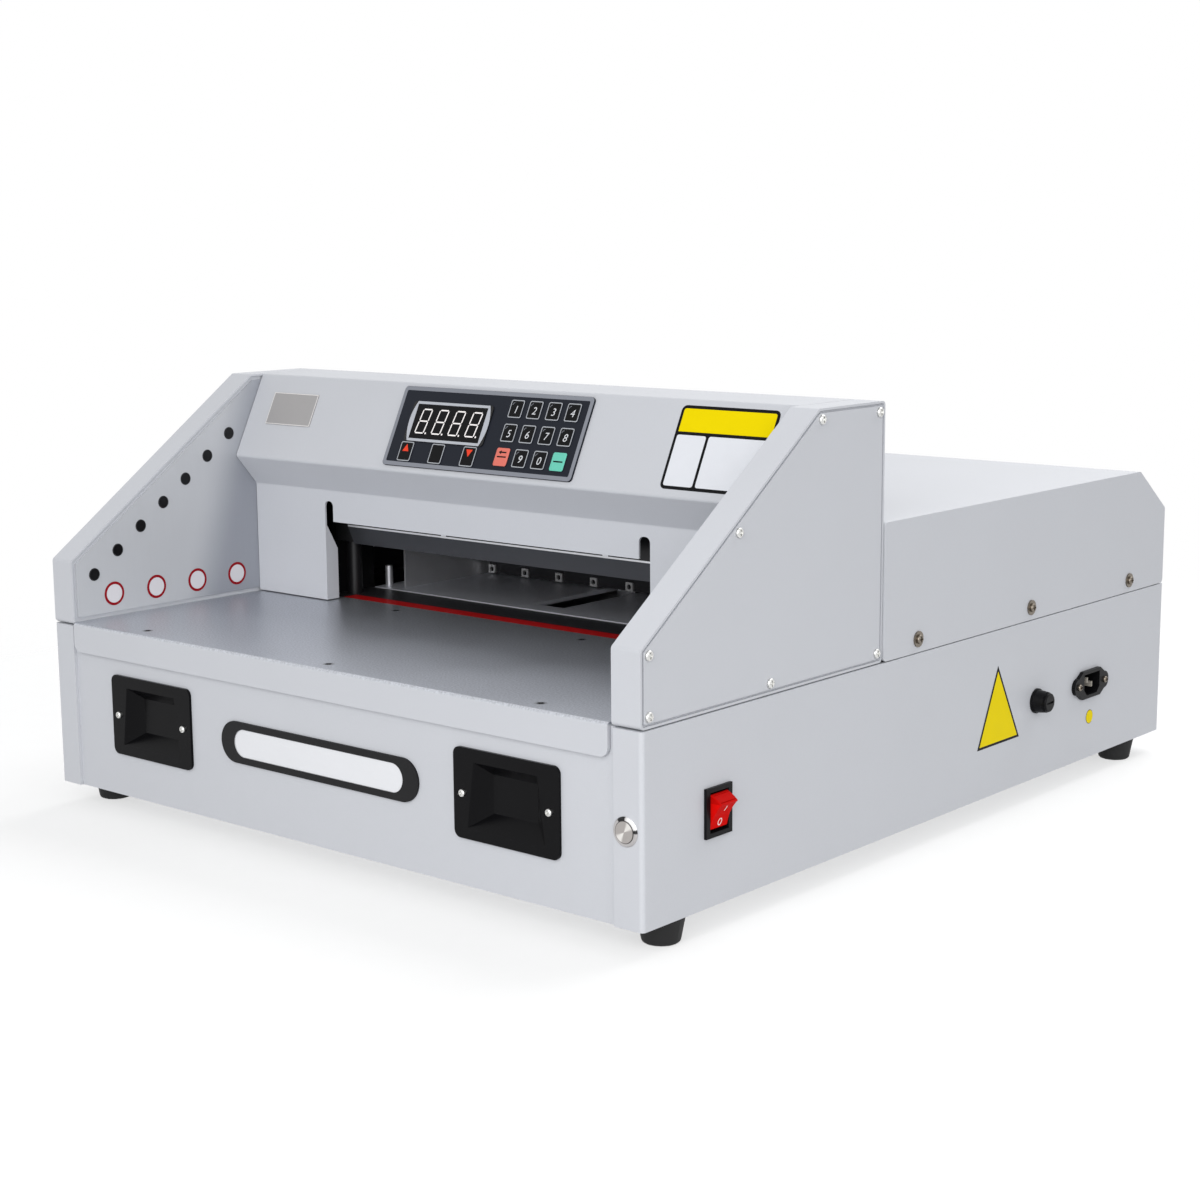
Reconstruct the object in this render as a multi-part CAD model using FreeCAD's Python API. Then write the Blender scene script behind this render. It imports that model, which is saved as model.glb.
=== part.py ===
import FreeCAD, Part
import math
import os

# Base casing: the front face of the corner posts is Y = 0, the mid plane is X = 0, the underside is Z = 0
base_width = 560.0
base_depth = 657.5
base_height = 120.0
base_sheet = 2.5
post_width = 22.0
bend_radius = 3.0
floor_sheet = 2.0
half_width = base_width / 2
post_inner = half_width - post_width
floor_top = base_sheet + floor_sheet
table_flange_depth = 25.0
vent_count = 9
vent_pitch = 22.0
vent_length = 46.0
vent_width = 4.0
vent_bottom = 38.0

# Feet
foot_height = 17.0
foot_top_diameter = 30.0
foot_bottom_diameter = 23.5
foot_round = 2.5
foot_inset_x = 15.5
foot_front_inset = 36.0
foot_rear_inset = 44.5

# General clearances
slide_fit = 0.05
seat_gap = 0.3
seam = 0.8
cover_sheet = 1.5

# Front table
table_sheet = 2.5
table_left_gap = 1.7
table_right_gap = 3.5
table_left = -post_inner + table_left_gap
table_right = post_inner - table_right_gap
table_front = -0.7
table_rear = 197.0
apron_drop = 21.2
apron_corner = 6.0
table_screw_left_margin = 68.3
table_screw_right_margin = 64.5
table_front_screw_x = (table_left + table_screw_left_margin, 2.0, table_right - table_screw_right_margin)
table_front_screw_y = 13.5
table_rear_screw_x = (-106.0, 78.0)
table_rear_screw_y = 180.6
flat_head_diameter = 8.0
flat_head_height = 2.2
table_screw_diameter = 4.0
table_screw_length = 12.0
table_screw_cross = 4.4

# Machine bed, cutting stick and side frames
bed_left_margin = 80.0
bed_right_margin = 110.0
bed_left = -half_width + bed_left_margin
bed_right = half_width - bed_right_margin
bed_front = 170.0
bed_rear = 262.0
bed_thickness = 20.0
bed_strip_rise = 2.3
bed_leg_width = 20.0
bed_right_leg_setback = 80.0
stick_margin = 18.0
stick_width = 14.0
stick_height = 12.0
frame_thickness = 12.0
frame_front = 206.0
frame_rear = 248.0
frame_height = 162.0
frame_bolt_diameter = 6.0
frame_bolt_grip = 14.0
frame_bolt_head = 10.0
frame_bolt_head_height = 4.0
frame_bolt_setback = 6.0
frame_bolt_spacing = 11.0

# Rear table
rear_table_front = 244.5
rear_table_margin = 4.25
rear_table_left = bed_left + rear_table_margin
rear_table_right = bed_right - rear_table_margin
rear_table_sheet = 3.0
rear_table_skirt = 22.0
slot_width = 31.0
slot_front_margin = 2.0
slot_rear_margin = 8.0

# Knife drive: the knife slides down along a line slanted from the vertical in the X-Z plane
slant = 25.0
knife_left_margin = 25.0
knife_right_margin = 5.0
knife_left = bed_left + knife_left_margin
knife_right = bed_right - knife_right_margin
knife_front = 198.0
knife_thickness = 6.3
knife_edge_rise = 41.8
knife_height = 91.7
bevel_height = 14.0
edge_land = 0.2
knife_end_gap = 0.1
carrier_overhang = 10.0
carrier_crank_overhang = 15.0
carrier_thickness = 12.0
carrier_height = 38.0
knife_bolt_count = 5
knife_bolt_left_margin = 25.0
knife_bolt_right_margin = 15.0
knife_bolt_diameter = 8.0
knife_bolt_head = 13.0
knife_bolt_head_height = 6.0
guide_block_left_margin = 90.0
guide_block_right_margin = 60.0
guide_block_width = 20.0
guide_block_height = 12.0
guide_block_drop = 4.0
guide_groove_depth = 8.0
beam_thickness = 15.4
beam_bottom_gap = 2.2
beam_front_gap = 2.3

# Crank, rod and knife motor
crank_side_gap = 55.0
crank_drop = 31.25
rod_pin_drop = 8.25
rod_width = 24.0
rod_thickness = 12.0
rod_front_gap = 1.5
rod_pin_diameter = 14.0
crank_pin_diameter = 12.0
rod_slot_height = 27.0
rod_slot_length = 38.0
rod_slot_shift = 10.7
rod_slot_wall = 8.0
tooth_addendum = 0.95
tooth_dedendum = 1.25
tooth_tip_share = 0.12
tooth_root_share = 0.3
gear_module = 1.5
crank_teeth = 60
pinion_teeth = 15
gear_width = 12.0
gear_front = 228.0
gear_spacing = 0.25
crank_shaft_diameter = 20.0
drive_plate_gap = 3.0
drive_plate_thickness = 8.0
drive_plate_left_reach = 105.0
drive_plate_right_reach = 37.0
drive_plate_foot = 24.0
bearing_boss_diameter = 36.0
bearing_boss_length = 7.0
motor_drop = 2.25
motor_shaft_diameter = 10.0
motor_pilot_diameter = 30.0
gearbox_diameter = 76.0
gearbox_length = 60.0
motor_diameter = 70.0
motor_length = 110.0
motor_base_overlap = 2.0
motor_base_rise = 4.0

# Paper clamp: a beam behind the knife, pulled down by two rods, a yoke and a spindle under the bed
clamp_front_gap = 2.1
clamp_depth = 33.6
clamp_height = 28.0
clamp_travel = 42.0
clamp_floor_gap = 0.5
clamp_end_gap = 2.0
clamp_rod_margin = 11.0
clamp_rod_y = 217.0
clamp_rod_diameter = 12.0
clamp_rod_grip = 26.0
yoke_drop = 10.0
yoke_height = 18.0
yoke_depth = 16.0
yoke_boss_diameter = 24.0
spindle_x = -17.0
spindle_diameter = 14.0
spindle_journal = 8.0
spindle_thread_bottom = 26.0
clamp_gear_module = 1.25
clamp_gear_teeth = 40
clamp_pinion_teeth = 16
clamp_gear_bottom = 12.0
clamp_gear_width = 8.0
clamp_motor_diameter = 40.0
clamp_motor_top_gap = 8.0
clamp_motor_shaft = 6.0
clamp_bracket_front = 155.0
clamp_bracket_sheet = 3.0
clamp_bracket_half_width = 28.0
clamp_bracket_leg_depth = 45.0
clamp_bracket_top = 25.0

# Back gauge and its lead screw
gauge_x = -27.0
fence_left_gap = 29.75
fence_right_gap = 19.75
fence_left = rear_table_left + fence_left_gap
fence_right = rear_table_right - fence_right_gap
fence_front = 347.0
fence_thickness = 6.0
fence_height = 36.0
fence_gap = 1.2
fence_lug = 7.0
fence_lug_hole = 4.0
fence_lug_proud = 2.0
fence_lug_sink = 0.5
fence_lug_end_gap = 12.0
fence_lug_count = 9
fence_foot_width = 66.0
fence_foot_depth = 22.0
fence_foot_height = 4.0
carriage_front = 353.0
carriage_depth = 30.0
carriage_height = 17.0
carriage_half_width = 80.0
gauge_neck_width = 18.0
gauge_neck_setback = 2.0
gauge_rod_spacing = 60.0
gauge_rod_diameter = 12.0
gauge_rod_grip = 10.0
lead_screw_diameter = 12.0
lead_screw_journal = 8.0
gauge_forward_travel = 90.0
gauge_end_gap = 32.0
support_rear_gap = 57.5
support_front = base_depth - support_rear_gap
gauge_rear_travel = support_front - carriage_front - carriage_depth - gauge_end_gap
support_sheet = 6.0
support_foot = 20.0
pulley_diameter = 30.0
pulley_flange = 2.0
pulley_width = 10.0
pulley_gap = 2.0
belt_thickness = 1.5
belt_width = 6.0
pulley_spacing = 55.0
gauge_motor_side = 57.0
gauge_motor_length = 54.0
gauge_motor_pilot = 38.0
gauge_motor_shaft = 6.35

# Side guides of the rear table
guide_left_gap = 5.0
guide_right_gap = 3.0
guide_left = fence_left - guide_left_gap
guide_right = fence_right + guide_right_gap
guide_front = 255.0
guide_rear_gap = 20.0
guide_rear = support_front - guide_rear_gap
guide_height = 40.0
guide_sheet = 2.0
guide_foot = 14.0
guide_foot_front = 266.0
guide_post_margin = 4.75
guide_post_x = rear_table_left + guide_post_margin
guide_post_y = 256.0
guide_post_diameter = 6.0
guide_post_height = 16.0

# Side cheeks
cheek_outer_inset = 1.0
cheek_width = 22.0
cheek_depth = 250.0
cheek_knee_rise = 47.5
cheek_knee_z = base_height + cheek_knee_rise
cheek_slope_y = 176.0
cheek_top_rise = 173.0
cheek_top_z = base_height + cheek_top_rise
cheek_rim = 14.0
cover_inset = 3.0
inner_panel_inset = 4.5
cover_screw_inset = 7.0
slope_screw_share = 0.5
lens_count = 7
lens_diameter = 8.0
lens_length = 6.0
lens_proud = 0.4
lens_first_y = 20.3
lens_first_rise = 35.4
lens_first_z = base_height + lens_first_rise
lens_step_y = 21.93
lens_step_z = 15.62

# Hood
hood_side_gap = 0.5
hood_front_y = 177.5
hood_lower_crease_rise = 88.3
hood_lower_crease_z = base_height + hood_lower_crease_rise
hood_upper_crease_y = 158.0
hood_upper_crease_rise = 111.3
hood_upper_crease_z = base_height + hood_upper_crease_rise
hood_slope_top_y = 188.3
hood_rear_drop = 88.0
hood_bend = 2.5
opening_left_margin = 22.0
opening_right_margin = 28.2
opening_left = bed_left + opening_left_margin
opening_right = bed_right - opening_right_margin
opening_rise = 64.5
opening_top = base_height + opening_rise
notch_width_left = 9.0
notch_width_right = 9.8
notch_height = 15.5
notch_top = opening_top + notch_height
notch_round = 4.0
hood_flange_depth = 12.0
hood_flange_drop = 4.0
hood_flange_rear_drop = 22.5
hood_flange_top = opening_top - hood_flange_drop
hood_flange_rear_top = opening_top - hood_flange_rear_drop
hood_flange_land = 2.0

# Rear cover
rear_cover_rise = 93.5
rear_cover_top = base_height + rear_cover_rise
rear_cover_chamfer_y = 44.0
rear_cover_chamfer_z = 32.5
rear_cover_inset = 2.0
cover_screw_front_margin = 41.8
cover_screw_rear_margin = 60.0
cover_screw_rise = 10.0
cover_screw_z = base_height + cover_screw_rise
upstand_height = 18.0
upstand_front = 262.0
upstand_rear_gap = 17.5
upstand_rear = base_depth - upstand_rear_gap

# Case screws
screw_diameter = 4.0
screw_length = 8.0
screw_head_diameter = 6.4
screw_head_height = 2.0
screw_slot_width = 1.1
screw_slot_depth = 1.0
screw_fit = 0.05
screw_round_share = 0.6
screw_cross_share = 0.62
washer_diameter = 11.0
washer_thickness = 1.0

# Control panel: u runs along X and v up the slope from the upper crease of the hood
keypad_left = -94.3
keypad_right = 88.2
keypad_bottom = 3.8
keypad_top = 65.3
keypad_thickness = 1.6
keypad_corner = 3.0
key_relief = 0.5
key_corner = 1.5
digit_key_x = (20.3, 37.7, 55.3, 72.8)
digit_key_v = (16.9, 34.9, 52.9)
digit_key_width = 12.5
digit_key_height = 13.5
function_key_x = (-73.8, -42.7, -11.4)
function_key_v = 15.0
function_key_width = 13.0
function_key_height = 15.0
display_left = -79.6
display_right = -0.7
display_bottom = 23.0
display_top = 54.0
display_thickness = 1.6
display_sink = 0.8
display_corner = 3.0

# Handle cups in the front panel
cup_left_margin = 108.0
cup_right_margin = 108.4
cup_x = (-half_width + cup_left_margin, half_width - cup_right_margin)
cup_z = 60.3
cup_plate_width = 87.5
cup_plate_height = 58.2
cup_plate_thickness = 2.0
cup_plate_corner = 5.0
cup_mouth_top_half = 26.5
cup_mouth_bottom_half = 32.2
cup_mouth_top = 20.7
cup_mouth_bottom = 21.7
cup_floor_top_half = 18.4
cup_floor_bottom_half = 18.4
cup_floor_top = 12.5
cup_floor_bottom = 12.3
cup_depth = 9.5
cup_wall = 2.0
cup_screw_offset = 36.0
cup_screw_head = 5.0
cup_screw_diameter = 3.0

# Front badge: a long frame with round ends round a plain plate
badge_x = 0.3
badge_z = 59.5
badge_width = 191.0
badge_height = 29.0
badge_thickness = 1.6
badge_rim = 4.8
badge_end_rim = 13.8
badge_plate_sink = 0.6

# Start button in the right post
button_post_inset = 9.3
button_x = post_inner + button_post_inset
button_z = 59.2
button_ring_diameter = 18.2
button_ring_proud = 1.2
button_ring_chamfer = 0.8
button_body_diameter = 16.0
button_body_length = 24.0
button_nut_width = 19.0
button_relief_gap = 1.5
button_nut_thickness = 3.0
button_cap_diameter = 13.8
button_cap_proud = 0.4
button_travel = 1.5
button_bore_depth = 6.0

# Power switch on the right side
switch_y = 70.6
switch_z = 59.2
switch_width = 25.5
switch_height = 31.0
switch_bezel = 2.0
switch_body_width = 22.0
switch_body_height = 27.5
switch_body_depth = 22.0
switch_well_depth = 12.0
rocker_width = 17.0
rocker_height = 24.0
rocker_gap = 0.6
rocker_lift = 8.5
rocker_pivot_depth = 2.0
rocker_hub = 7.0
rocker_peak_share = 0.48
rocker_shoulder_share = 0.72
rocker_foot_share = 0.8
rocker_low_sink = 0.8
rocker_top_sink = 0.5
rocker_shoulder_sink = 4.0
rocker_foot_sink = 5.0
rocker_root = 3.0

# Fuse holder and inlet on the right side
fuse_z = 58.8
fuse_ring_diameter = 18.5
fuse_ring_thickness = 1.5
fuse_body_diameter = 13.0
fuse_body_length = 32.0
fuse_bore_diameter = 8.0
fuse_skirt_diameter = 17.2
fuse_skirt_end_diameter = 15.2
fuse_skirt_length = 8.0
fuse_cap_diameter = 14.0
fuse_cap_length = 10.3
fuse_cap_round = 1.0
fuse_stub_diameter = 7.6
fuse_stub_length = 10.0
fuse_slot_width = 1.6
fuse_slot_depth = 1.2
inlet_rear_margin = 120.9
inlet_y = base_depth - inlet_rear_margin
fuse_inlet_spacing = 80.4
fuse_y = inlet_y - fuse_inlet_spacing
inlet_z = 58.6
inlet_flange_height = 21.5
inlet_flange_thickness = 3.0
inlet_ear_radius = 6.5
inlet_screw_spacing = 40.0
inlet_body_width = 27.0
inlet_body_height = 19.5
inlet_body_depth = 25.0
inlet_socket_width = 24.2
inlet_socket_height = 16.4
inlet_socket_depth = 16.0
inlet_socket_corner = 4.5
inlet_pin_width = 4.0
inlet_pin_thickness = 2.0
inlet_pin_spacing = 7.0
inlet_pin_length = 14.0
inlet_pin_root = 2.0
inlet_pin_rise = 2.0

# Electronics on the floor
electronics_side_gap = 40.0
supply_gap = 28.0
board_gap = 30.0
board_width = 120.0
board_depth = 110.0
board_thickness = 1.6
standoff_height = 10.0
standoff_diameter = 7.0
standoff_inset = 8.0
relay_count = 3
relay_side = 18.0
relay_height = 15.0
relay_pitch = 26.0
relay_margin = 20.0
relay_front_margin = 22.0
sink_depth = 14.0
sink_height = 25.0
sink_rear_margin = 20.0
part_sink = 1.0
supply_width = 98.0
supply_depth = 110.0
supply_height = 48.0
supply_slot_count = 8
supply_slot_width = 3.0
supply_slot_pitch = 10.0
supply_slot_margin = 10.0
supply_slot_front_margin = 15.0
supply_slot_depth = 1.5

# Worked out from the sizes above
panel_face = base_sheet
panel_back = panel_face + base_sheet
table_top = base_height + table_sheet
bed_bottom = base_height - bed_thickness
clamp_motor_length = bed_bottom - clamp_bracket_top - clamp_motor_top_gap
bed_top = base_height + bed_strip_rise
bed_right_leg_x = bed_right - bed_right_leg_setback
stick_left = bed_left + stick_margin
stick_right = bed_right - stick_margin
stick_rear = table_rear + seat_gap + stick_width
knife_rear = knife_front + knife_thickness
knife_edge_z = bed_top + knife_end_gap + knife_edge_rise
knife_top = knife_edge_z + knife_height
carrier_top = knife_top + 2
carrier_bottom = carrier_top - carrier_height
carrier_front = knife_front - carrier_thickness
crank_x = half_width - crank_side_gap
crank_z = bed_bottom - crank_drop
crank_radius = knife_edge_rise / 2
carrier_left = knife_left - carrier_overhang
carrier_right = crank_x + carrier_crank_overhang
rod_pin_z = carrier_top - rod_pin_drop
knife_bolt_first_x = knife_left + knife_bolt_left_margin
knife_bolt_pitch = (knife_right - knife_bolt_right_margin - knife_bolt_first_x) / (knife_bolt_count - 1)
knife_bolt_x = [knife_bolt_first_x + index * knife_bolt_pitch for index in range(knife_bolt_count)]
guide_block_x = (bed_left + guide_block_left_margin, bed_right - guide_block_right_margin)
clamp_rod_x = (bed_left + clamp_rod_margin, bed_right - clamp_rod_margin)
yoke_top = bed_bottom - yoke_drop
rod_front = knife_front + rod_front_gap
clamp_front = knife_rear + clamp_front_gap
clamp_bottom = bed_top + clamp_floor_gap + clamp_travel
clamp_top = clamp_bottom + clamp_height
beam_front = knife_rear + beam_front_gap
beam_bottom = clamp_top + beam_bottom_gap
frame_top = bed_bottom + frame_height
gear_rear = gear_front + gear_width
drive_plate_front = gear_rear + drive_plate_gap
drive_plate_rear = drive_plate_front + drive_plate_thickness
drive_plate_left = crank_x - drive_plate_left_reach
drive_plate_right = crank_x + drive_plate_right_reach
motor_z = (floor_top + bed_bottom) / 2 - motor_drop
crank_pitch_radius = gear_module * crank_teeth / 2
pinion_pitch_radius = gear_module * pinion_teeth / 2
gear_distance = crank_pitch_radius + pinion_pitch_radius + gear_spacing
motor_x = crank_x - math.sqrt(gear_distance ** 2 - (crank_z - motor_z) ** 2)
clamp_gear_distance = clamp_gear_module * (clamp_gear_teeth + clamp_pinion_teeth) / 2 + gear_spacing
clamp_motor_y = clamp_rod_y - clamp_gear_distance
rear_table_top = base_height + rear_table_sheet
fence_bottom = rear_table_top + fence_gap
fence_lug_pitch = (fence_right - fence_left - fence_lug - fence_lug_end_gap) / (fence_lug_count - 1)
gauge_z = bed_bottom + bed_thickness / 2
gauge_motor_z = gauge_z - pulley_spacing
carriage_top = base_height - 2
slot_front = carriage_front + gauge_neck_setback - gauge_forward_travel - slot_front_margin
slot_rear = carriage_front + fence_foot_depth + gauge_rear_travel + slot_rear_margin
pulley_front = support_front + support_sheet + pulley_gap
cheek_outer = half_width - cheek_outer_inset
cheek_inner = cheek_outer - cheek_width
case_bottom = base_height + seam
hood_half = cheek_inner - hood_side_gap
hood_lean = math.degrees(math.atan2(hood_slope_top_y - hood_upper_crease_y,
                                    cheek_top_z - hood_upper_crease_z))
rear_cover_front = cheek_depth + seam
rear_cover_back = base_depth - rear_cover_inset
cover_screw_front_y = rear_cover_front + cover_screw_front_margin
cover_screw_rear_y = base_depth - cover_screw_rear_margin
cover_screw_y = (cover_screw_front_y, (cover_screw_front_y + cover_screw_rear_y) / 2, cover_screw_rear_y)
electronics_left = -half_width + electronics_side_gap
supply_front = bed_rear + supply_gap
board_front = supply_front + supply_depth + board_gap
upstand_face = half_width - cover_sheet - seat_gap

along_x = FreeCAD.Vector(1, 0, 0)
along_y = FreeCAD.Vector(0, 1, 0)
along_z = FreeCAD.Vector(0, 0, 1)


def point(x, y, z):
    return FreeCAD.Vector(x, y, z)


def box(x0, x1, y0, y1, z0, z1):
    return Part.makeBox(x1 - x0, y1 - y0, z1 - z0, point(x0, y0, z0))


def cylinder(start, direction, diameter, length):
    return Part.makeCylinder(diameter / 2, length, start, direction)


def prism(corners, direction):
    face = Part.Face(Part.makePolygon(corners + corners[:1]))
    return face.extrude(direction)


def prism_x(outline, x0, x1):
    return prism([point(x0, y, z) for y, z in outline], along_x * (x1 - x0))


def prism_y(outline, y0, y1):
    return prism([point(x, y0, z) for x, z in outline], along_y * (y1 - y0))


def joined(shapes):
    result = shapes[0]
    if len(shapes) > 1:
        result = shapes[0].fuse(shapes[1:])
    return result.removeSplitter()


def group(shapes):
    return Part.makeCompound(shapes)


def mirrored(shape):
    return shape.mirror(point(0, 0, 0), along_x)


def edges_along(shape, direction):
    found = []
    for edge in shape.Edges:
        run = edge.lastVertex().Point - edge.firstVertex().Point
        if run.Length > 0 and run.cross(direction).Length < 1e-6 * run.Length:
            found.append(edge)
    return found


def rounded(shape, direction, radius):
    return shape.makeFillet(radius, edges_along(shape, direction))


def side_normal(start, end):
    run_y = end[0] - start[0]
    run_z = end[1] - start[1]
    length = math.hypot(run_y, run_z)
    return (-run_z / length, run_y / length)


def offset_outline(outline, distance, closed):
    # Moves each side of an outline to its left by the distance and meets the sides again at their corners.
    count = len(outline)
    moved = []
    for index, corner in enumerate(outline):
        normals = []
        if closed or index > 0:
            normals.append(side_normal(outline[index - 1], corner))
        if closed or index < count - 1:
            normals.append(side_normal(corner, outline[(index + 1) % count]))
        first = normals[0]
        last = normals[-1]
        share = distance / (1 + first[0] * last[0] + first[1] * last[1])
        moved.append((corner[0] + (first[0] + last[0]) * share, corner[1] + (first[1] + last[1]) * share))
    return moved


def bent_sheet(outline, thickness, x0, x1):
    inner = offset_outline(outline, thickness, False)
    return prism_x(outline + inner[::-1], x0, x1)


def obround_y(center_x, center_z, width, height, y0, y1):
    half_run = (width - height) / 2
    middle = box(center_x - half_run, center_x + half_run, y0, y1,
                 center_z - height / 2, center_z + height / 2)
    ends = []
    for side in (-1, 1):
        ends.append(cylinder(point(center_x + side * half_run, y0, center_z), along_y, height, y1 - y0))
    return joined([middle] + ends)


def screw(head_seat, outward, head_diameter=screw_head_diameter, diameter=screw_diameter):
    # A round-headed screw with a cross recess; its shank runs from the seat against the outward direction.
    head = Part.makeCylinder(head_diameter / 2, screw_head_height)
    head = head.makeFillet(screw_head_height * screw_round_share, [head.Edges[0]])
    long_side = head_diameter * screw_cross_share
    for width, depth in ((long_side, screw_slot_width), (screw_slot_width, long_side)):
        slot = box(-width / 2, width / 2, -depth / 2, depth / 2,
                   screw_head_height - screw_slot_depth, screw_head_height + 1)
        head = head.cut(slot)
    shank = Part.makeCylinder(diameter / 2, screw_length + 1, point(0, 0, -screw_length))
    whole = joined([head, shank])
    whole.Placement = FreeCAD.Placement(head_seat, FreeCAD.Rotation(along_z, outward))
    return whole


def screw_hole(head_seat, outward, diameter=screw_diameter):
    depth = screw_length + 1
    return cylinder(head_seat - outward * depth, outward, diameter + 2 * screw_fit, depth + 1)


def gear(center, axis, module, teeth, width, tooth_toward):
    # A spur gear with straight-flanked teeth, one of them centred on the direction tooth_toward.
    pitch_radius = module * teeth / 2
    tip_radius = pitch_radius + tooth_addendum * module
    root_radius = pitch_radius - tooth_dedendum * module
    step = 2 * math.pi / teeth
    side = axis.cross(tooth_toward)
    corners = []
    for tooth in range(teeth):
        for share, radius in ((-tooth_root_share, root_radius), (-tooth_tip_share, tip_radius),
                              (tooth_tip_share, tip_radius), (tooth_root_share, root_radius)):
            angle = (tooth + share) * step
            along_tooth = tooth_toward * (radius * math.cos(angle))
            corners.append(center + along_tooth + side * (radius * math.sin(angle)))
    return prism(corners, axis * width)


def on_slope(shape):
    # Takes a shape from the control panel's own plane (u, v, outward) to its place on the hood.
    turn = FreeCAD.Rotation(along_x, 90 - hood_lean)
    moved = shape.copy()
    moved.Placement = FreeCAD.Placement(point(0, hood_upper_crease_y, hood_upper_crease_z), turn)
    return moved


def cheek_outline():
    return [(0, case_bottom), (cheek_depth, case_bottom), (cheek_depth, cheek_top_z),
            (cheek_slope_y, cheek_top_z), (0, cheek_knee_z)]


def cheek_layer(inset, x0, x1):
    outline = offset_outline(cheek_outline(), inset, True)
    layer = prism_x(outline, x0, x1)
    return rounded(layer, along_x, max(bend_radius - inset, 1.0))


def cheek_screw_places():
    corners = offset_outline(cheek_outline(), cover_screw_inset, True)
    bottom_front, bottom_rear, top_rear, slope_top, knee = corners
    bottom_middle = ((bottom_front[0] + bottom_rear[0]) / 2, bottom_front[1])
    slope_middle = (knee[0] + (slope_top[0] - knee[0]) * slope_screw_share,
                    knee[1] + (slope_top[1] - knee[1]) * slope_screw_share)
    return corners + [bottom_middle, slope_middle]


def cheek_screw_seats():
    return [point(cheek_outer, y, z) for y, z in cheek_screw_places()]


def lens_places():
    return [(lens_first_y + index * lens_step_y, lens_first_z + index * lens_step_z)
            for index in range(lens_count)]


def rear_cover_screw_seats():
    return [point(half_width + washer_thickness, y, cover_screw_z) for y in cover_screw_y]


def cup_screw_seats():
    face = panel_face - cup_plate_thickness
    return [point(x + side * cup_screw_offset, face, cup_z) for x in cup_x for side in (-1, 1)]


def inlet_screw_seats():
    face = half_width + inlet_flange_thickness
    return [point(face, inlet_y + side * inlet_screw_spacing / 2, inlet_z) for side in (-1, 1)]


def side_tray():
    # The right side panel: a plate with a flange folded in along each of its four edges.
    outer = box(post_inner, half_width, 0, base_depth, 0, base_height)
    outer_edges = [edge for edge in edges_along(outer, along_z)
                   if edge.firstVertex().Point.x > post_inner + 1]
    outer = outer.makeFillet(bend_radius, outer_edges)
    hollow = box(post_inner - 1, half_width - base_sheet, base_sheet, base_depth - base_sheet,
                 base_sheet, base_height - base_sheet)
    upstand = box(upstand_face - base_sheet, upstand_face, upstand_front, upstand_rear,
                  base_height - base_sheet, base_height + upstand_height)
    tray = joined([outer.cut(hollow), upstand])
    return tray.cut([screw_hole(seat, along_x) for seat in rear_cover_screw_seats()])


def switch_cutout():
    return box(half_width - 2 * base_sheet, half_width + 1,
               switch_y - switch_body_width / 2 - seat_gap, switch_y + switch_body_width / 2 + seat_gap,
               switch_z - switch_body_height / 2 - seat_gap, switch_z + switch_body_height / 2 + seat_gap)


def inlet_cutout():
    return box(half_width - 2 * base_sheet, half_width + 1,
               inlet_y - inlet_body_width / 2 - seat_gap, inlet_y + inlet_body_width / 2 + seat_gap,
               inlet_z - inlet_body_height / 2 - seat_gap, inlet_z + inlet_body_height / 2 + seat_gap)


def base_right_panel():
    fuse_hole = cylinder(point(half_width - 2 * base_sheet, fuse_y, fuse_z), along_x,
                         fuse_body_diameter + 2 * seat_gap, 3 * base_sheet)
    button_hole = cylinder(point(button_x, -1, button_z), along_y,
                           button_body_diameter + 2 * seat_gap, 2 * base_sheet)
    holes = [switch_cutout(), inlet_cutout(), fuse_hole, button_hole]
    holes += [screw_hole(seat, along_x) for seat in inlet_screw_seats()]
    return side_tray().cut(holes)


def base_left_panel():
    return mirrored(side_tray())


def cup_outline(x, half_top, half_bottom, rise, drop, margin):
    bottom = cup_z - drop - margin
    top = cup_z + rise + margin
    return [(x - half_bottom - margin, bottom), (x + half_bottom + margin, bottom),
            (x + half_top + margin, top), (x - half_top - margin, top)]


def cup_hollow(x, front, back, margin):
    # The tapering well of a handle cup, from its mouth plane to its floor plane, grown by a margin.
    mouth = cup_outline(x, cup_mouth_top_half, cup_mouth_bottom_half, cup_mouth_top,
                        cup_mouth_bottom, margin)
    floor = cup_outline(x, cup_floor_top_half, cup_floor_bottom_half, cup_floor_top,
                        cup_floor_bottom, margin)
    wires = []
    for outline, depth in ((mouth, front), (floor, back)):
        corners = [point(px, depth, pz) for px, pz in outline]
        wires.append(Part.makePolygon(corners + corners[:1]))
    return Part.makeLoft(wires, True, True)


def base_front_panel():
    # The flange at the top carries the table; the ears lap behind the two posts.
    plate = box(-post_inner + seat_gap, post_inner - seat_gap, panel_face, panel_back, 0, base_height)
    ears = box(-half_width + 2 * base_sheet, half_width - 2 * base_sheet, panel_face, panel_back,
               base_sheet, base_height - base_sheet)
    flange = box(-post_inner + seat_gap, post_inner - seat_gap, panel_face, panel_back + table_flange_depth,
                 base_height - base_sheet, base_height)
    panel = joined([plate, ears, flange])
    holes = []
    for x in cup_x:
        outline = cup_outline(x, cup_mouth_top_half, cup_mouth_bottom_half, cup_mouth_top, cup_mouth_bottom,
                              cup_wall + seat_gap)
        holes.append(prism_y(outline, panel_face - 1, panel_back + 1))
    holes += [screw_hole(seat, -along_y, cup_screw_diameter) for seat in cup_screw_seats()]
    holes += [table_screw_hole(x, table_front_screw_y) for x in table_front_screw_x]
    button_relief = cylinder(point(button_x, panel_face - 1, button_z), along_y,
                             button_nut_width + 2 * button_relief_gap, base_sheet + 2)
    return panel.cut(holes + [button_relief])


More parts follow.
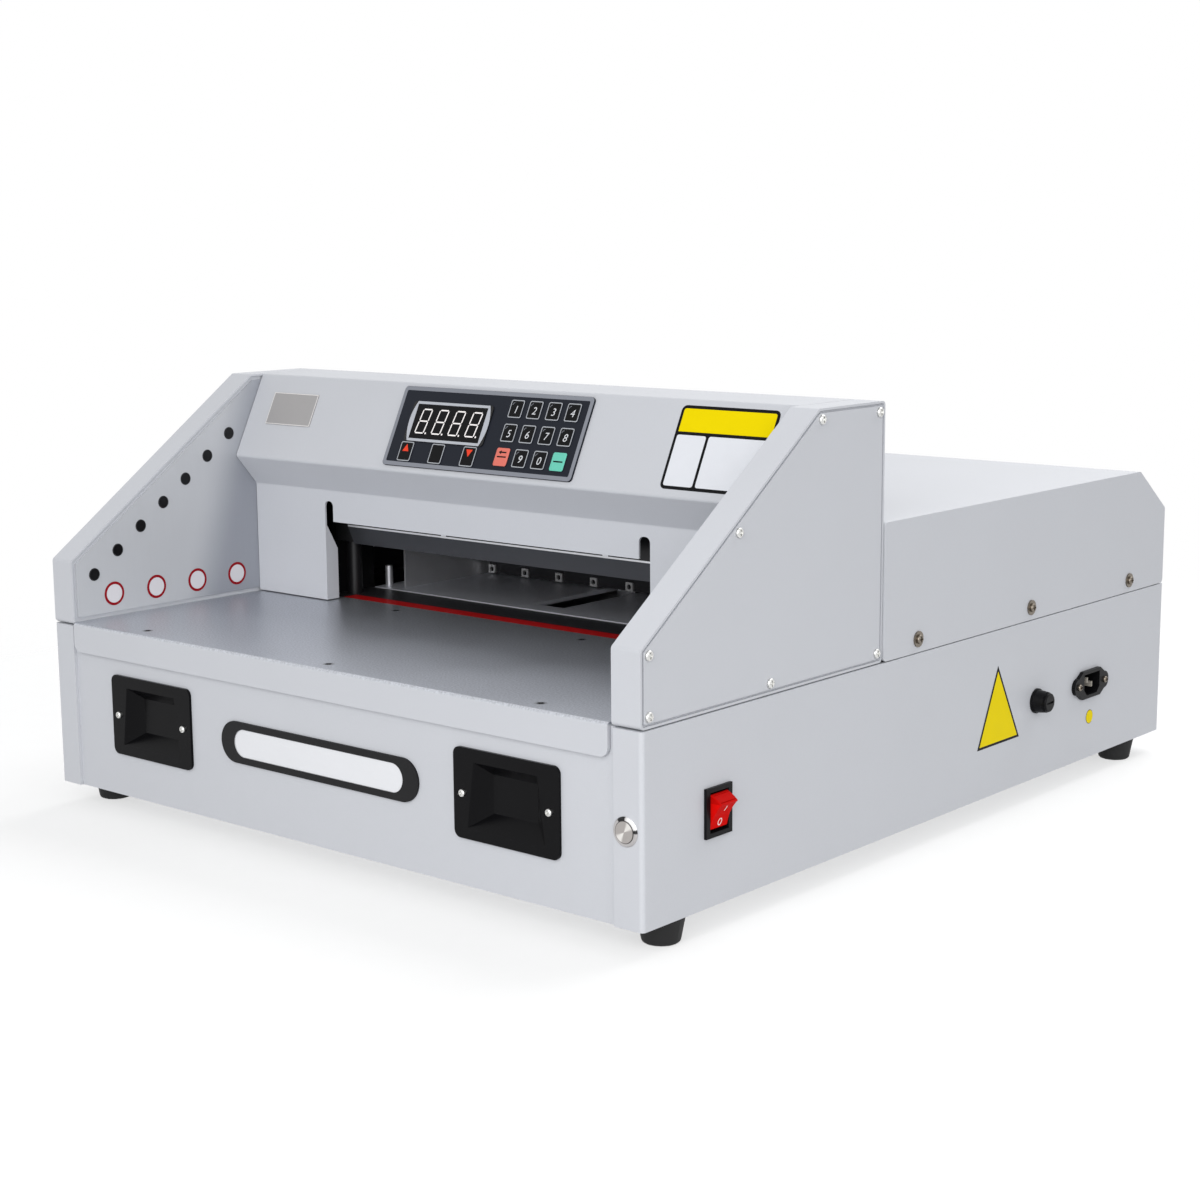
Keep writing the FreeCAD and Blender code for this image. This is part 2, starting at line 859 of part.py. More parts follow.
def base_rear_panel():
    back = base_depth - base_sheet
    plate = box(-half_width + 2 * base_sheet, half_width - 2 * base_sheet, back - base_sheet, back,
                base_sheet, base_height - base_sheet)
    cap = box(-post_inner + seat_gap, post_inner - seat_gap, back - base_sheet, back, 0, base_height)
    panel = joined([plate, cap])
    vents = []
    for index in range(vent_count):
        x = (index - (vent_count - 1) / 2) * vent_pitch
        vents.append(box(x - vent_width / 2, x + vent_width / 2, back - 2 * base_sheet, back + 1,
                         vent_bottom, vent_bottom + vent_length))
    return panel.cut(vents)


def base_floor():
    return box(-half_width + 2 * base_sheet, half_width - 2 * base_sheet,
               panel_back, base_depth - 2 * base_sheet, base_sheet, floor_top)


def foot_centers():
    return [(side * (half_width - foot_inset_x), y)
            for side in (-1, 1) for y in (foot_front_inset, base_depth - foot_rear_inset)]


def rubber_feet():
    feet = []
    for x, y in foot_centers():
        foot = Part.makeCone(foot_bottom_diameter / 2, foot_top_diameter / 2, foot_height,
                             point(x, y, -foot_height))
        bottom_edges = [edge for edge in foot.Edges if edge.BoundBox.ZMax < -foot_height + 0.01]
        feet.append(foot.makeFillet(foot_round, bottom_edges))
    return group(feet)


def table_screw_hole(x, y):
    depth = table_screw_length + 1
    return cylinder(point(x, y, table_top - depth), along_z, table_screw_diameter + 2 * screw_fit,
                    depth + 1)


def table_screw_places():
    return [(x, table_front_screw_y) for x in table_front_screw_x] + \
           [(x, table_rear_screw_y) for x in table_rear_screw_x]


def flat_head(x, y, margin):
    return Part.makeCone(table_screw_diameter / 2 + margin, flat_head_diameter / 2 + margin,
                         flat_head_height, point(x, y, table_top - flat_head_height))


def front_table():
    plate = box(table_left, table_right, table_front, table_rear, base_height, table_top)
    apron = box(table_left, table_right, table_front, table_front + table_sheet,
                table_top - apron_drop, table_top)
    bottom_corners = [edge for edge in edges_along(apron, along_y) if edge.BoundBox.ZMax < base_height]
    apron = apron.makeFillet(apron_corner, bottom_corners)
    table = joined([plate, apron])
    front_bend = [edge for edge in edges_along(table, along_x)
                  if edge.BoundBox.ZMin > table_top - 0.01 and edge.BoundBox.YMax < table_front + 0.01]
    table = table.makeFillet(table_sheet, front_bend)
    for x, y in table_screw_places():
        table = table.cut([table_screw_hole(x, y), flat_head(x, y, screw_fit)])
    return table


def table_screws():
    screws = []
    for x, y in table_screw_places():
        shank = cylinder(point(x, y, table_top - table_screw_length), along_z, table_screw_diameter,
                         table_screw_length - flat_head_height)
        body = joined([shank, flat_head(x, y, 0)])
        for width, depth in ((table_screw_cross, screw_slot_width), (screw_slot_width, table_screw_cross)):
            body = body.cut(box(x - width / 2, x + width / 2, y - depth / 2, y + depth / 2,
                                table_top - screw_slot_depth, table_top + 1))
        screws.append(body)
    return group(screws)


def bed_leg_places():
    return [(x, y) for x in (bed_left, bed_right_leg_x) for y in (bed_front, bed_rear - bed_leg_width)]


def frame_bolt_places(side_x):
    rear_y = frame_rear - frame_bolt_setback
    bed_z = bed_bottom + bed_thickness / 2
    beam_y = beam_front + beam_thickness / 2
    places = [(rear_y, bed_z), (rear_y - frame_bolt_spacing, bed_z)]
    places += [(beam_y, beam_bottom + frame_bolt_spacing), (beam_y, frame_top - frame_bolt_spacing)]
    return [point(side_x, y, z) for y, z in places]


def frame_bolt_seats():
    left = [(seat, -along_x) for seat in frame_bolt_places(bed_left - frame_thickness)]
    right = [(seat, along_x) for seat in frame_bolt_places(bed_right + frame_thickness)]
    return left + right


def frame_bolt_holes():
    reach = frame_thickness + frame_bolt_grip + 1
    return [cylinder(seat - outward * reach, outward, frame_bolt_diameter + 2 * screw_fit, reach + 1)
            for seat, outward in frame_bolt_seats()]


def frame_bolts():
    bolts = []
    reach = frame_thickness + frame_bolt_grip
    for seat, outward in frame_bolt_seats():
        shank = cylinder(seat - outward * reach, outward, frame_bolt_diameter, reach)
        head = cylinder(seat, outward, frame_bolt_head, frame_bolt_head_height)
        socket = cylinder(seat + outward * (frame_bolt_head_height / 2), outward,
                          frame_bolt_head / 2, frame_bolt_head_height)
        bolts.append(joined([shank, head]).cut(socket))
    return group(bolts)


def clamp_rod_bores(z0, z1):
    return [cylinder(point(x, clamp_rod_y, z0), along_z, clamp_rod_diameter + 2 * slide_fit, z1 - z0)
            for x in clamp_rod_x]


def gauge_rod_x():
    return (gauge_x - gauge_rod_spacing, gauge_x + gauge_rod_spacing)


def machine_bed():
    slab = box(bed_left, bed_right, bed_front, bed_rear, bed_bottom, base_height)
    strip = box(bed_left, bed_right, table_rear + seat_gap, rear_table_front - seat_gap,
                base_height, bed_top)
    legs = [box(x, x + bed_leg_width, y, y + bed_leg_width, floor_top, bed_bottom)
            for x, y in bed_leg_places()]
    bed = joined([slab, strip] + legs)
    groove = box(stick_left - seat_gap, stick_right + seat_gap, table_rear, stick_rear + slide_fit,
                 bed_top - stick_height, bed_top + 1)
    holes = [groove] + clamp_rod_bores(bed_bottom - 1, bed_top + 1) + frame_bolt_holes()
    holes += [table_screw_hole(x, table_rear_screw_y) for x in table_rear_screw_x]
    holes.append(cylinder(point(spindle_x, clamp_rod_y, bed_bottom - 1), along_z,
                          spindle_journal + 2 * slide_fit, gauge_rod_grip))
    holes.append(cylinder(point(gauge_x, bed_rear - gauge_rod_grip, gauge_z), along_y,
                          lead_screw_journal + 2 * slide_fit, gauge_rod_grip + 1))
    for x in gauge_rod_x():
        holes.append(cylinder(point(x, bed_rear - gauge_rod_grip, gauge_z), along_y,
                              gauge_rod_diameter + 2 * slide_fit, gauge_rod_grip + 1))
    return bed.cut(holes)


def cutting_stick():
    return box(stick_left, stick_right, stick_rear - stick_width, stick_rear,
               bed_top - stick_height, bed_top)


def side_frames():
    frames = []
    for x in (bed_left - frame_thickness, bed_right):
        plate = box(x, x + frame_thickness, frame_front, frame_rear, bed_bottom, frame_top)
        frames.append(plate.cut(frame_bolt_holes()))
    return group(frames)


def slanted_bar(x, z, width, y0, y1, below, above):
    # A bar through (x, z) that runs along the slide's slanted line.
    bar = box(-width / 2, width / 2, y0, y1, -below, above)
    bar.Placement = FreeCAD.Placement(point(x, 0, z), FreeCAD.Rotation(along_y, slant))
    return bar


def guide_block_z():
    return knife_top - guide_block_height / 2 - guide_block_drop


def guide_beam():
    beam = box(bed_left, bed_right, beam_front, beam_front + beam_thickness, beam_bottom, frame_top)
    reach = frame_height
    grooves = [slanted_bar(x, guide_block_z(), guide_block_width + 2 * slide_fit,
                           beam_front - 1, beam_front + guide_groove_depth, reach, reach)
               for x in guide_block_x]
    return beam.cut(grooves + frame_bolt_holes())


def knife_guide_blocks():
    end = beam_front + guide_groove_depth - seat_gap
    return group([slanted_bar(x, guide_block_z(), guide_block_width, knife_rear, end,
                              guide_block_height / 2, guide_block_height / 2) for x in guide_block_x])


def knife_bolt_holes():
    z = (carrier_bottom + carrier_top) / 2
    holes = []
    for x in knife_bolt_x:
        holes.append(cylinder(point(x, carrier_front - 1, z), along_y, knife_bolt_diameter + 2 * screw_fit,
                              carrier_thickness + knife_thickness + 2))
        holes.append(cylinder(point(x, carrier_front - 1, z), along_y, knife_bolt_head + 2 * screw_fit,
                              knife_bolt_head_height + 1))
    return holes


def knife():
    outline = [(knife_front, knife_edge_z + bevel_height), (knife_rear - edge_land, knife_edge_z),
               (knife_rear, knife_edge_z), (knife_rear, knife_top), (knife_front, knife_top)]
    return prism_x(outline, knife_left, knife_right).cut(knife_bolt_holes())


def knife_carrier():
    bar = box(carrier_left, carrier_right, carrier_front, knife_front, carrier_bottom, carrier_top)
    pin = cylinder(point(crank_x, knife_front - 1, rod_pin_z), along_y, rod_pin_diameter,
                   rod_front_gap + rod_thickness + 2)
    return joined([bar.cut(knife_bolt_holes()), pin])


def knife_bolts():
    z = (carrier_bottom + carrier_top) / 2
    bolts = []
    for x in knife_bolt_x:
        head = cylinder(point(x, carrier_front, z), along_y, knife_bolt_head, knife_bolt_head_height)
        shank = cylinder(point(x, carrier_front, z), along_y, knife_bolt_diameter,
                         carrier_thickness + knife_thickness)
        socket = cylinder(point(x, carrier_front - 1, z), along_y, knife_bolt_head / 2,
                          knife_bolt_head_height / 2)
        bolts.append(joined([head, shank]).cut(socket))
    return group(bolts)


def pull_rod():
    # The eye at the bottom is a wide slot in which the crank pin runs.
    rear = rod_front + rod_thickness
    bottom = crank_z + crank_radius
    slot_x = crank_x + rod_slot_shift
    half_slot = rod_slot_length / 2 + rod_slot_wall
    half_rise = rod_slot_height / 2 + rod_slot_wall
    shank = box(crank_x - rod_width / 2, crank_x + rod_width / 2, rod_front, rear, bottom, rod_pin_z)
    top_eye = cylinder(point(crank_x, rod_front, rod_pin_z), along_y, rod_width, rod_thickness)
    yoke = box(slot_x - half_slot, slot_x + half_slot, rod_front, rear,
               bottom - half_rise, bottom + half_rise)
    yoke = rounded(yoke, along_y, rod_slot_wall)
    slot = box(slot_x - rod_slot_length / 2, slot_x + rod_slot_length / 2, rod_front - 1, rear + 1,
               bottom - rod_slot_height / 2, bottom + rod_slot_height / 2)
    slot = rounded(slot, along_y, crank_pin_diameter / 2 - 1)
    bore = cylinder(point(crank_x, rod_front - 1, rod_pin_z), along_y, rod_pin_diameter + 2 * slide_fit,
                    rod_thickness + 2)
    return joined([shank, top_eye, yoke]).cut([slot, bore])


def toward_pinion():
    run = point(motor_x - crank_x, 0, motor_z - crank_z)
    return run.normalize()


def crank_gear():
    wheel = gear(point(crank_x, gear_front, crank_z), along_y, gear_module, crank_teeth, gear_width,
                 toward_pinion())
    pin_front = rod_front - seat_gap
    pin = cylinder(point(crank_x, pin_front, crank_z + crank_radius), along_y, crank_pin_diameter,
                   gear_front - pin_front + 1)
    shaft = cylinder(point(crank_x, gear_rear - 1, crank_z), along_y, crank_shaft_diameter,
                     drive_plate_rear + bearing_boss_length - gear_rear + 2)
    return joined([wheel, pin, shaft])


def drive_plate():
    plate = box(drive_plate_left, drive_plate_right, drive_plate_front, drive_plate_rear,
                floor_top, bed_bottom)
    foot = box(drive_plate_left, drive_plate_right, drive_plate_front, drive_plate_rear + drive_plate_foot,
               floor_top, floor_top + clamp_bracket_sheet)
    boss = cylinder(point(crank_x, drive_plate_front, crank_z), along_y, bearing_boss_diameter,
                    drive_plate_thickness + bearing_boss_length)
    bore = cylinder(point(crank_x, drive_plate_front - 1, crank_z), along_y,
                    crank_shaft_diameter + 2 * slide_fit, drive_plate_thickness + bearing_boss_length + 2)
    pilot_hole = cylinder(point(motor_x, drive_plate_front - 1, motor_z), along_y,
                          motor_pilot_diameter + 2 * slide_fit, drive_plate_thickness + 2)
    return joined([plate, foot, boss]).cut([bore, pilot_hole])


def knife_motor():
    start = point(motor_x, drive_plate_rear, motor_z)
    gearbox = cylinder(start, along_y, gearbox_diameter, gearbox_length)
    can = cylinder(start + along_y * gearbox_length, along_y, motor_diameter, motor_length)
    pilot = cylinder(point(motor_x, drive_plate_front, motor_z), along_y, motor_pilot_diameter,
                     drive_plate_thickness + 1)
    shaft = cylinder(point(motor_x, gear_front, motor_z), along_y, motor_shaft_diameter,
                     drive_plate_rear - gear_front)
    base_top = motor_z - gearbox_diameter / 2 + motor_base_overlap + motor_base_rise
    base = box(motor_x - gearbox_length / 2, motor_x + gearbox_length / 2,
               drive_plate_rear + drive_plate_foot + seat_gap,
               drive_plate_rear + gearbox_length + motor_length / 2, floor_top, base_top)
    return joined([gearbox, can, pilot, shaft, base])


def knife_pinion():
    toward_gap = toward_pinion() * -1
    step = 2 * math.pi / pinion_teeth
    half = FreeCAD.Rotation(along_y, math.degrees(step / 2))
    tooth = half.multVec(toward_gap)
    wheel = gear(point(motor_x, gear_front, motor_z), along_y, gear_module, pinion_teeth, gear_width, tooth)
    bore = cylinder(point(motor_x, gear_front - 1, motor_z), along_y, motor_shaft_diameter + 2 * slide_fit,
                    gear_width + 2)
    return wheel.cut(bore)


def clamp_beam():
    bar = box(bed_left + clamp_end_gap, bed_right - clamp_end_gap, clamp_front, clamp_front + clamp_depth,
              clamp_bottom, clamp_top)
    return bar.cut(clamp_rod_bores(clamp_bottom - 1, clamp_bottom + clamp_rod_grip))


def clamp_guide_rods():
    bottom = yoke_top - yoke_height
    length = clamp_bottom + clamp_rod_grip - bottom
    return group([cylinder(point(x, clamp_rod_y, bottom), along_z, clamp_rod_diameter, length)
                  for x in clamp_rod_x])


def clamp_yoke():
    bottom = yoke_top - yoke_height
    bar = box(bed_left, bed_right, clamp_rod_y - yoke_depth / 2, clamp_rod_y + yoke_depth / 2,
              bottom, yoke_top)
    boss = cylinder(point(spindle_x, clamp_rod_y, bottom), along_z, yoke_boss_diameter, yoke_height)
    bore = cylinder(point(spindle_x, clamp_rod_y, bottom - 1), along_z, spindle_diameter + 2 * slide_fit,
                    yoke_height + 2)
    return joined([bar, boss]).cut([bore] + clamp_rod_bores(bottom - 1, yoke_top + 1))


def clamp_spindle():
    wheel = gear(point(spindle_x, clamp_rod_y, clamp_gear_bottom), along_z, clamp_gear_module,
                 clamp_gear_teeth, clamp_gear_width, -along_y)
    bottom_pin = cylinder(point(spindle_x, clamp_rod_y, floor_top + seat_gap), along_z, spindle_journal,
                          clamp_gear_bottom - floor_top)
    hub = cylinder(point(spindle_x, clamp_rod_y, clamp_gear_bottom), along_z, spindle_diameter,
                   spindle_thread_bottom - clamp_gear_bottom)
    thread = cylinder(point(spindle_x, clamp_rod_y, spindle_thread_bottom), along_z, spindle_diameter,
                      bed_bottom - 1 - spindle_thread_bottom)
    top_pin = cylinder(point(spindle_x, clamp_rod_y, bed_bottom - 2), along_z, spindle_journal,
                       gauge_rod_grip)
    return joined([wheel, bottom_pin, hub, thread, top_pin])


def clamp_bracket():
    left = spindle_x - clamp_bracket_half_width
    right = spindle_x + clamp_bracket_half_width
    leg_rear = clamp_bracket_front + clamp_bracket_leg_depth
    foot_rear = clamp_rod_y + spindle_diameter
    sheet = clamp_bracket_sheet
    foot = box(left, right, clamp_bracket_front, foot_rear, floor_top, floor_top + sheet)
    legs = [box(x, x + sheet, clamp_bracket_front, leg_rear, floor_top, clamp_bracket_top)
            for x in (left, right - sheet)]
    top = box(left, right, clamp_bracket_front, leg_rear, clamp_bracket_top - sheet, clamp_bracket_top)
    boss = cylinder(point(spindle_x, clamp_rod_y, floor_top), along_z, spindle_diameter,
                    clamp_gear_bottom - floor_top - 2)
    bore = cylinder(point(spindle_x, clamp_rod_y, floor_top - 1), along_z, spindle_journal + 2 * slide_fit,
                    clamp_gear_bottom)
    shaft_hole = cylinder(point(spindle_x, clamp_motor_y, clamp_bracket_top - 2 * sheet), along_z,
                          2 * clamp_motor_shaft, 3 * sheet)
    return joined([foot, top, boss] + legs).cut([bore, shaft_hole])


def clamp_motor():
    can = cylinder(point(spindle_x, clamp_motor_y, clamp_bracket_top), along_z, clamp_motor_diameter,
                   clamp_motor_length)
    shaft = cylinder(point(spindle_x, clamp_motor_y, clamp_gear_bottom), along_z, clamp_motor_shaft,
                     clamp_bracket_top - clamp_gear_bottom + 1)
    return joined([can, shaft])


def clamp_pinion():
    step = 2 * math.pi / clamp_pinion_teeth
    tooth = FreeCAD.Rotation(along_z, math.degrees(step / 2)).multVec(along_y)
    wheel = gear(point(spindle_x, clamp_motor_y, clamp_gear_bottom), along_z, clamp_gear_module,
                 clamp_pinion_teeth, clamp_gear_width, tooth)
    bore = cylinder(point(spindle_x, clamp_motor_y, clamp_gear_bottom - 1), along_z,
                    clamp_motor_shaft + 2 * slide_fit, clamp_gear_width + 2)
    return wheel.cut(bore)


def rear_table():
    skirt_front = bed_rear + seam
    plate = box(rear_table_left, rear_table_right, rear_table_front, support_front + support_sheet,
                base_height, rear_table_top)
    skirts = [box(x, x + rear_table_sheet, skirt_front, support_front,
                  base_height - rear_table_skirt, base_height + 1)
              for x in (rear_table_left, rear_table_right - rear_table_sheet)]
    slot = box(gauge_x - slot_width / 2, gauge_x + slot_width / 2, slot_front, slot_rear,
               base_height - 1, rear_table_top + 1)
    return joined([plate] + skirts).cut(slot)


def back_gauge_fence():
    rear = fence_front + fence_thickness
    wall = box(fence_left, fence_right, fence_front, rear, fence_bottom, fence_bottom + fence_height)
    foot = box(gauge_x - fence_foot_width / 2, gauge_x + fence_foot_width / 2, rear - 1,
               rear + fence_foot_depth, fence_bottom, fence_bottom + fence_foot_height)
    lugs = []
    holes = []
    for index in range(fence_lug_count):
        x = fence_left + fence_lug / 2 + index * fence_lug_pitch
        lugs.append(box(x - fence_lug / 2, x + fence_lug / 2, fence_front - fence_lug_proud,
                        fence_front + 1, fence_bottom, fence_bottom + fence_lug))
        hole_start = point(x, fence_front - 2 * fence_lug_proud, fence_bottom + fence_lug / 2)
        holes.append(cylinder(hole_start, along_y, fence_lug_hole, 2 * fence_lug_proud + fence_lug_sink))
    return joined([wall, foot] + lugs).cut(holes)


def gauge_carriage():
    rear = carriage_front + carriage_depth
    block = box(gauge_x - carriage_half_width, gauge_x + carriage_half_width, carriage_front, rear,
                carriage_top - carriage_height, carriage_top)
    neck = box(gauge_x - gauge_neck_width / 2, gauge_x + gauge_neck_width / 2,
               carriage_front + gauge_neck_setback, carriage_front + fence_foot_depth,
               carriage_top - 1, fence_bottom)
    bores = [cylinder(point(x, carriage_front - 1, gauge_z), along_y, gauge_rod_diameter + 2 * slide_fit,
                      carriage_depth + 2) for x in gauge_rod_x()]
    bores.append(cylinder(point(gauge_x, carriage_front - 1, gauge_z), along_y,
                          lead_screw_diameter + 2 * slide_fit, carriage_depth + 2))
    return joined([block, neck]).cut(bores)


def pulley(z, bore):
    rim_front = pulley_front + pulley_flange
    wheel = cylinder(point(gauge_x, pulley_front, z), along_y, pulley_diameter, pulley_width)
    flanges = [cylinder(point(gauge_x, y, z), along_y, pulley_diameter + 2 * belt_thickness,
                        pulley_flange - seat_gap)
               for y in (pulley_front, rim_front + belt_width + seat_gap)]
    hole = cylinder(point(gauge_x, pulley_front - 1, z), along_y, bore, pulley_width + 2)
    return joined([wheel] + flanges).cut(hole)


def gauge_lead_screw():
    # The screw and the pulley pressed on its rear journal.
    front = bed_rear + seat_gap
    rear = support_front - seat_gap
    thread = cylinder(point(gauge_x, front, gauge_z), along_y, lead_screw_diameter, rear - front)
    front_journal = cylinder(point(gauge_x, bed_rear - gauge_rod_grip + 1, gauge_z), along_y,
                             lead_screw_journal, gauge_rod_grip)
    rear_journal = cylinder(point(gauge_x, rear - 1, gauge_z), along_y, lead_screw_journal,
                            pulley_front + pulley_width - rear + 2)
    return joined([thread, front_journal, rear_journal, pulley(gauge_z, lead_screw_journal - 1)])


def gauge_guide_rods():
    start = bed_rear - gauge_rod_grip
    return group([cylinder(point(x, start, gauge_z), along_y, gauge_rod_diameter,
                           support_front + support_sheet - start) for x in gauge_rod_x()])


def rear_support():
    plate = box(rear_table_left, rear_table_right, support_front, support_front + support_sheet,
                floor_top, base_height)
    foot = box(rear_table_left, rear_table_right, support_front,
               support_front + support_sheet + support_foot, floor_top, floor_top + floor_sheet)
    holes = [cylinder(point(x, support_front - 1, gauge_z), along_y, gauge_rod_diameter + 2 * slide_fit,
                      support_sheet + 2) for x in gauge_rod_x()]
    holes.append(cylinder(point(gauge_x, support_front - 1, gauge_z), along_y,
                          lead_screw_journal + 2 * slide_fit, support_sheet + 2))
    holes.append(cylinder(point(gauge_x, support_front - 1, gauge_motor_z), along_y,
                          gauge_motor_pilot + 2 * slide_fit, support_sheet + 2))
    return joined([plate, foot]).cut(holes)


def gauge_motor():
    half = gauge_motor_side / 2
    body = box(gauge_x - half, gauge_x + half, support_front - gauge_motor_length, support_front,
               gauge_motor_z - half, gauge_motor_z + half)
    body = rounded(body, along_y, bend_radius)
    pilot = cylinder(point(gauge_x, support_front - 1, gauge_motor_z), along_y, gauge_motor_pilot,
                     1 + support_sheet / 2)
    shaft = cylinder(point(gauge_x, support_front, gauge_motor_z), along_y, gauge_motor_shaft,
                     support_sheet + pulley_gap + pulley_width)
    return joined([body, pilot, shaft])


def motor_pulley():
    return pulley(gauge_motor_z, gauge_motor_shaft + 2 * slide_fit)


def gauge_belt():
    front = pulley_front + pulley_flange
    inner_width = pulley_diameter + 2 * seat_gap
    loops = []
    for width in (inner_width + 2 * belt_thickness, inner_width):
        runs = [cylinder(point(gauge_x, front, z), along_y, width, belt_width)
                for z in (gauge_z, gauge_motor_z)]
        runs.append(box(gauge_x - width / 2, gauge_x + width / 2, front, front + belt_width,
                        gauge_motor_z, gauge_z))
        loops.append(joined(runs))
    return loops[0].cut(loops[1])


def side_guides():
    # Two angle plates beside the paper and a short post at the corner of the rear table.
    top = rear_table_top + guide_height
    pieces = []
    for face, side in ((guide_left, -1), (guide_right, 1)):
        near = min(face, face + side * guide_sheet)
        wall = box(near, near + guide_sheet, guide_front, guide_rear, rear_table_top, top)
        foot_near = min(face, face + side * guide_foot)
        foot = box(foot_near, foot_near + guide_foot, guide_foot_front, guide_rear,
                   rear_table_top, rear_table_top + guide_sheet)
        pieces.append(joined([wall, foot]))
    pieces.append(cylinder(point(guide_post_x, guide_post_y, rear_table_top), along_z, guide_post_diameter,
                           guide_post_height))
    return group(pieces)


def cheek_shell():
    # The right cheek: a band round the outline with a rim folded in on each side.
    wide = (cheek_inner - 1, cheek_outer + 1)
    band = cheek_layer(0, cheek_inner, cheek_outer).cut(cheek_layer(cover_sheet, *wide))
    window = cheek_layer(cheek_rim, *wide)
    rims = []
    for face in (cheek_outer - 2 * cover_sheet, cheek_inner + cover_sheet):
        rims.append(cheek_layer(0, face, face + cover_sheet).cut(window))
    holes = [screw_hole(seat, along_x) for seat in cheek_screw_seats()]
    return joined([band] + rims).cut(holes)


def right_cheek():
    return cheek_shell()


def left_cheek():
    return mirrored(cheek_shell())


def cheek_inner_panels():
    plate = cheek_layer(inner_panel_inset, cheek_inner, cheek_inner + cover_sheet)
    holes = [cylinder(point(cheek_inner - 1, y, z), along_x, lens_diameter + 2 * slide_fit, cover_sheet + 2)
             for y, z in lens_places()]
    plate = plate.cut(holes)
    return group([mirrored(plate), plate])


def side_covers():
    plate = cheek_layer(cover_inset, cheek_outer - cover_sheet, cheek_outer)
    plate = plate.cut([screw_hole(seat, along_x) for seat in cheek_screw_seats()])
    return group([mirrored(plate), plate])


def light_lenses():
    lenses = []
    for y, z in lens_places():
        lens = cylinder(point(cheek_inner - lens_proud, y, z), along_x, lens_diameter, lens_length)
        lenses += [mirrored(lens), lens]
    return group(lenses)


def notch(x0, x1):
    body = box(x0, x1, hood_front_y - 1, hood_front_y + hood_bend, opening_top - 1, notch_top)
    top_edges = [edge for edge in edges_along(body, along_y) if edge.BoundBox.ZMin > opening_top]
    return body.makeFillet(notch_round, top_edges)


def hood():
    top_rear = cheek_top_z - hood_rear_drop
    outline = [(cheek_depth, top_rear), (cheek_depth, cheek_top_z), (hood_slope_top_y, cheek_top_z),
               (hood_upper_crease_y, hood_upper_crease_z), (hood_front_y, hood_lower_crease_z),
               (hood_front_y, table_top + seam)]
    shell = bent_sheet(outline, cover_sheet, -hood_half, hood_half)
    opening = box(opening_left, opening_right, hood_front_y - 1, hood_front_y + hood_bend,
                  base_height, opening_top)
    opening = joined([opening, notch(opening_left, opening_left + notch_width_left),
                      notch(opening_right - notch_width_right, opening_right)])
    flange_outline = [(hood_front_y, table_top + seam),
                      (hood_front_y + hood_flange_depth, table_top + seam),
                      (hood_front_y + hood_flange_depth, hood_flange_rear_top),
                      (hood_front_y + hood_flange_land, hood_flange_top), (hood_front_y, hood_flange_top)]
    flange = prism_x(flange_outline, opening_left - cover_sheet, opening_left)
    shell = shell.cut(opening)
    creases = [edge for edge in edges_along(shell, along_x)
               if edge.Length > hood_half and is_crease(edge.firstVertex().Point)]
    return joined([shell.makeFillet(hood_bend, creases), flange])


def is_crease(place):
    creases = [(cheek_depth, cheek_top_z), (hood_slope_top_y, cheek_top_z),
               (hood_upper_crease_y, hood_upper_crease_z), (hood_front_y, hood_lower_crease_z)]
    return any(math.hypot(place.y - y, place.z - z) < cover_sheet / 10 for y, z in creases)


def rear_cover():
    outer_outline = [(rear_cover_front, case_bottom), (rear_cover_back, case_bottom),
                     (rear_cover_back, rear_cover_top - rear_cover_chamfer_z),
                     (rear_cover_back - rear_cover_chamfer_y, rear_cover_top),
                     (rear_cover_front, rear_cover_top)]
    shell = rounded(prism_x(outer_outline, -half_width, half_width), along_x, bend_radius)
    inner_outline = offset_outline(outer_outline, cover_sheet, True)
    inner = prism_x(inner_outline, -half_width + cover_sheet, half_width - cover_sheet)
    front = box(-half_width + cover_sheet, half_width - cover_sheet, rear_cover_front - 1,
                rear_cover_front + 2 * cover_sheet, case_bottom - 1, rear_cover_top - cover_sheet)
    bottom = box(-half_width + cover_sheet, half_width - cover_sheet, rear_cover_front - 1,
                 rear_cover_back - cover_sheet, case_bottom - 1, case_bottom + 2 * cover_sheet)
    seats = rear_cover_screw_seats()
    holes = [screw_hole(seat, along_x) for seat in seats]
    holes += [mirrored(screw_hole(seat, along_x)) for seat in seats]
    return shell.cut([inner, front, bottom] + holes)


def case_screws():
    # Screws of the side covers and of the rear cover, the latter with washers, then cups and inlet.
    screws = []
    for seat in cheek_screw_seats():
        one = screw(seat, along_x)
        screws += [one, mirrored(one)]
    for seat in rear_cover_screw_seats():
        washer = cylinder(seat - along_x * washer_thickness, along_x, washer_diameter, washer_thickness)
        one = joined([screw(seat, along_x), washer])
        screws += [one, mirrored(one)]
    screws += [screw(seat, -along_y, cup_screw_head, cup_screw_diameter) for seat in cup_screw_seats()]
    screws += [screw(seat, along_x, cup_screw_head) for seat in inlet_screw_seats()]
    return group(screws)


def panel_block(left, right, bottom, top, low, high, corner):
    return rounded(box(left, right, bottom, top, low, high), along_z, corner)


def key_block(u, v, width, height):
    return panel_block(u - width / 2, u + width / 2, v - height / 2, v + height / 2,
                       keypad_thickness - 0.5, keypad_thickness + key_relief, key_corner)


def keypad_panel():
    plate = panel_block(keypad_left, keypad_right, keypad_bottom, keypad_top,
                        0, keypad_thickness, keypad_corner)
    keys = [key_block(u, v, digit_key_width, digit_key_height) for u in digit_key_x for v in digit_key_v]
    keys += [key_block(u, function_key_v, function_key_width, function_key_height) for u in function_key_x]
    recess = panel_block(display_left - slide_fit, display_right + slide_fit, display_bottom - slide_fit,
                         display_top + slide_fit, keypad_thickness - display_sink, 2 * keypad_thickness,
                         display_corner)
    return on_slope(joined([plate] + keys).cut(recess))


def display_window():
    low = keypad_thickness - display_sink
    return on_slope(panel_block(display_left, display_right, display_bottom, display_top,
                                low, low + display_thickness, display_corner))


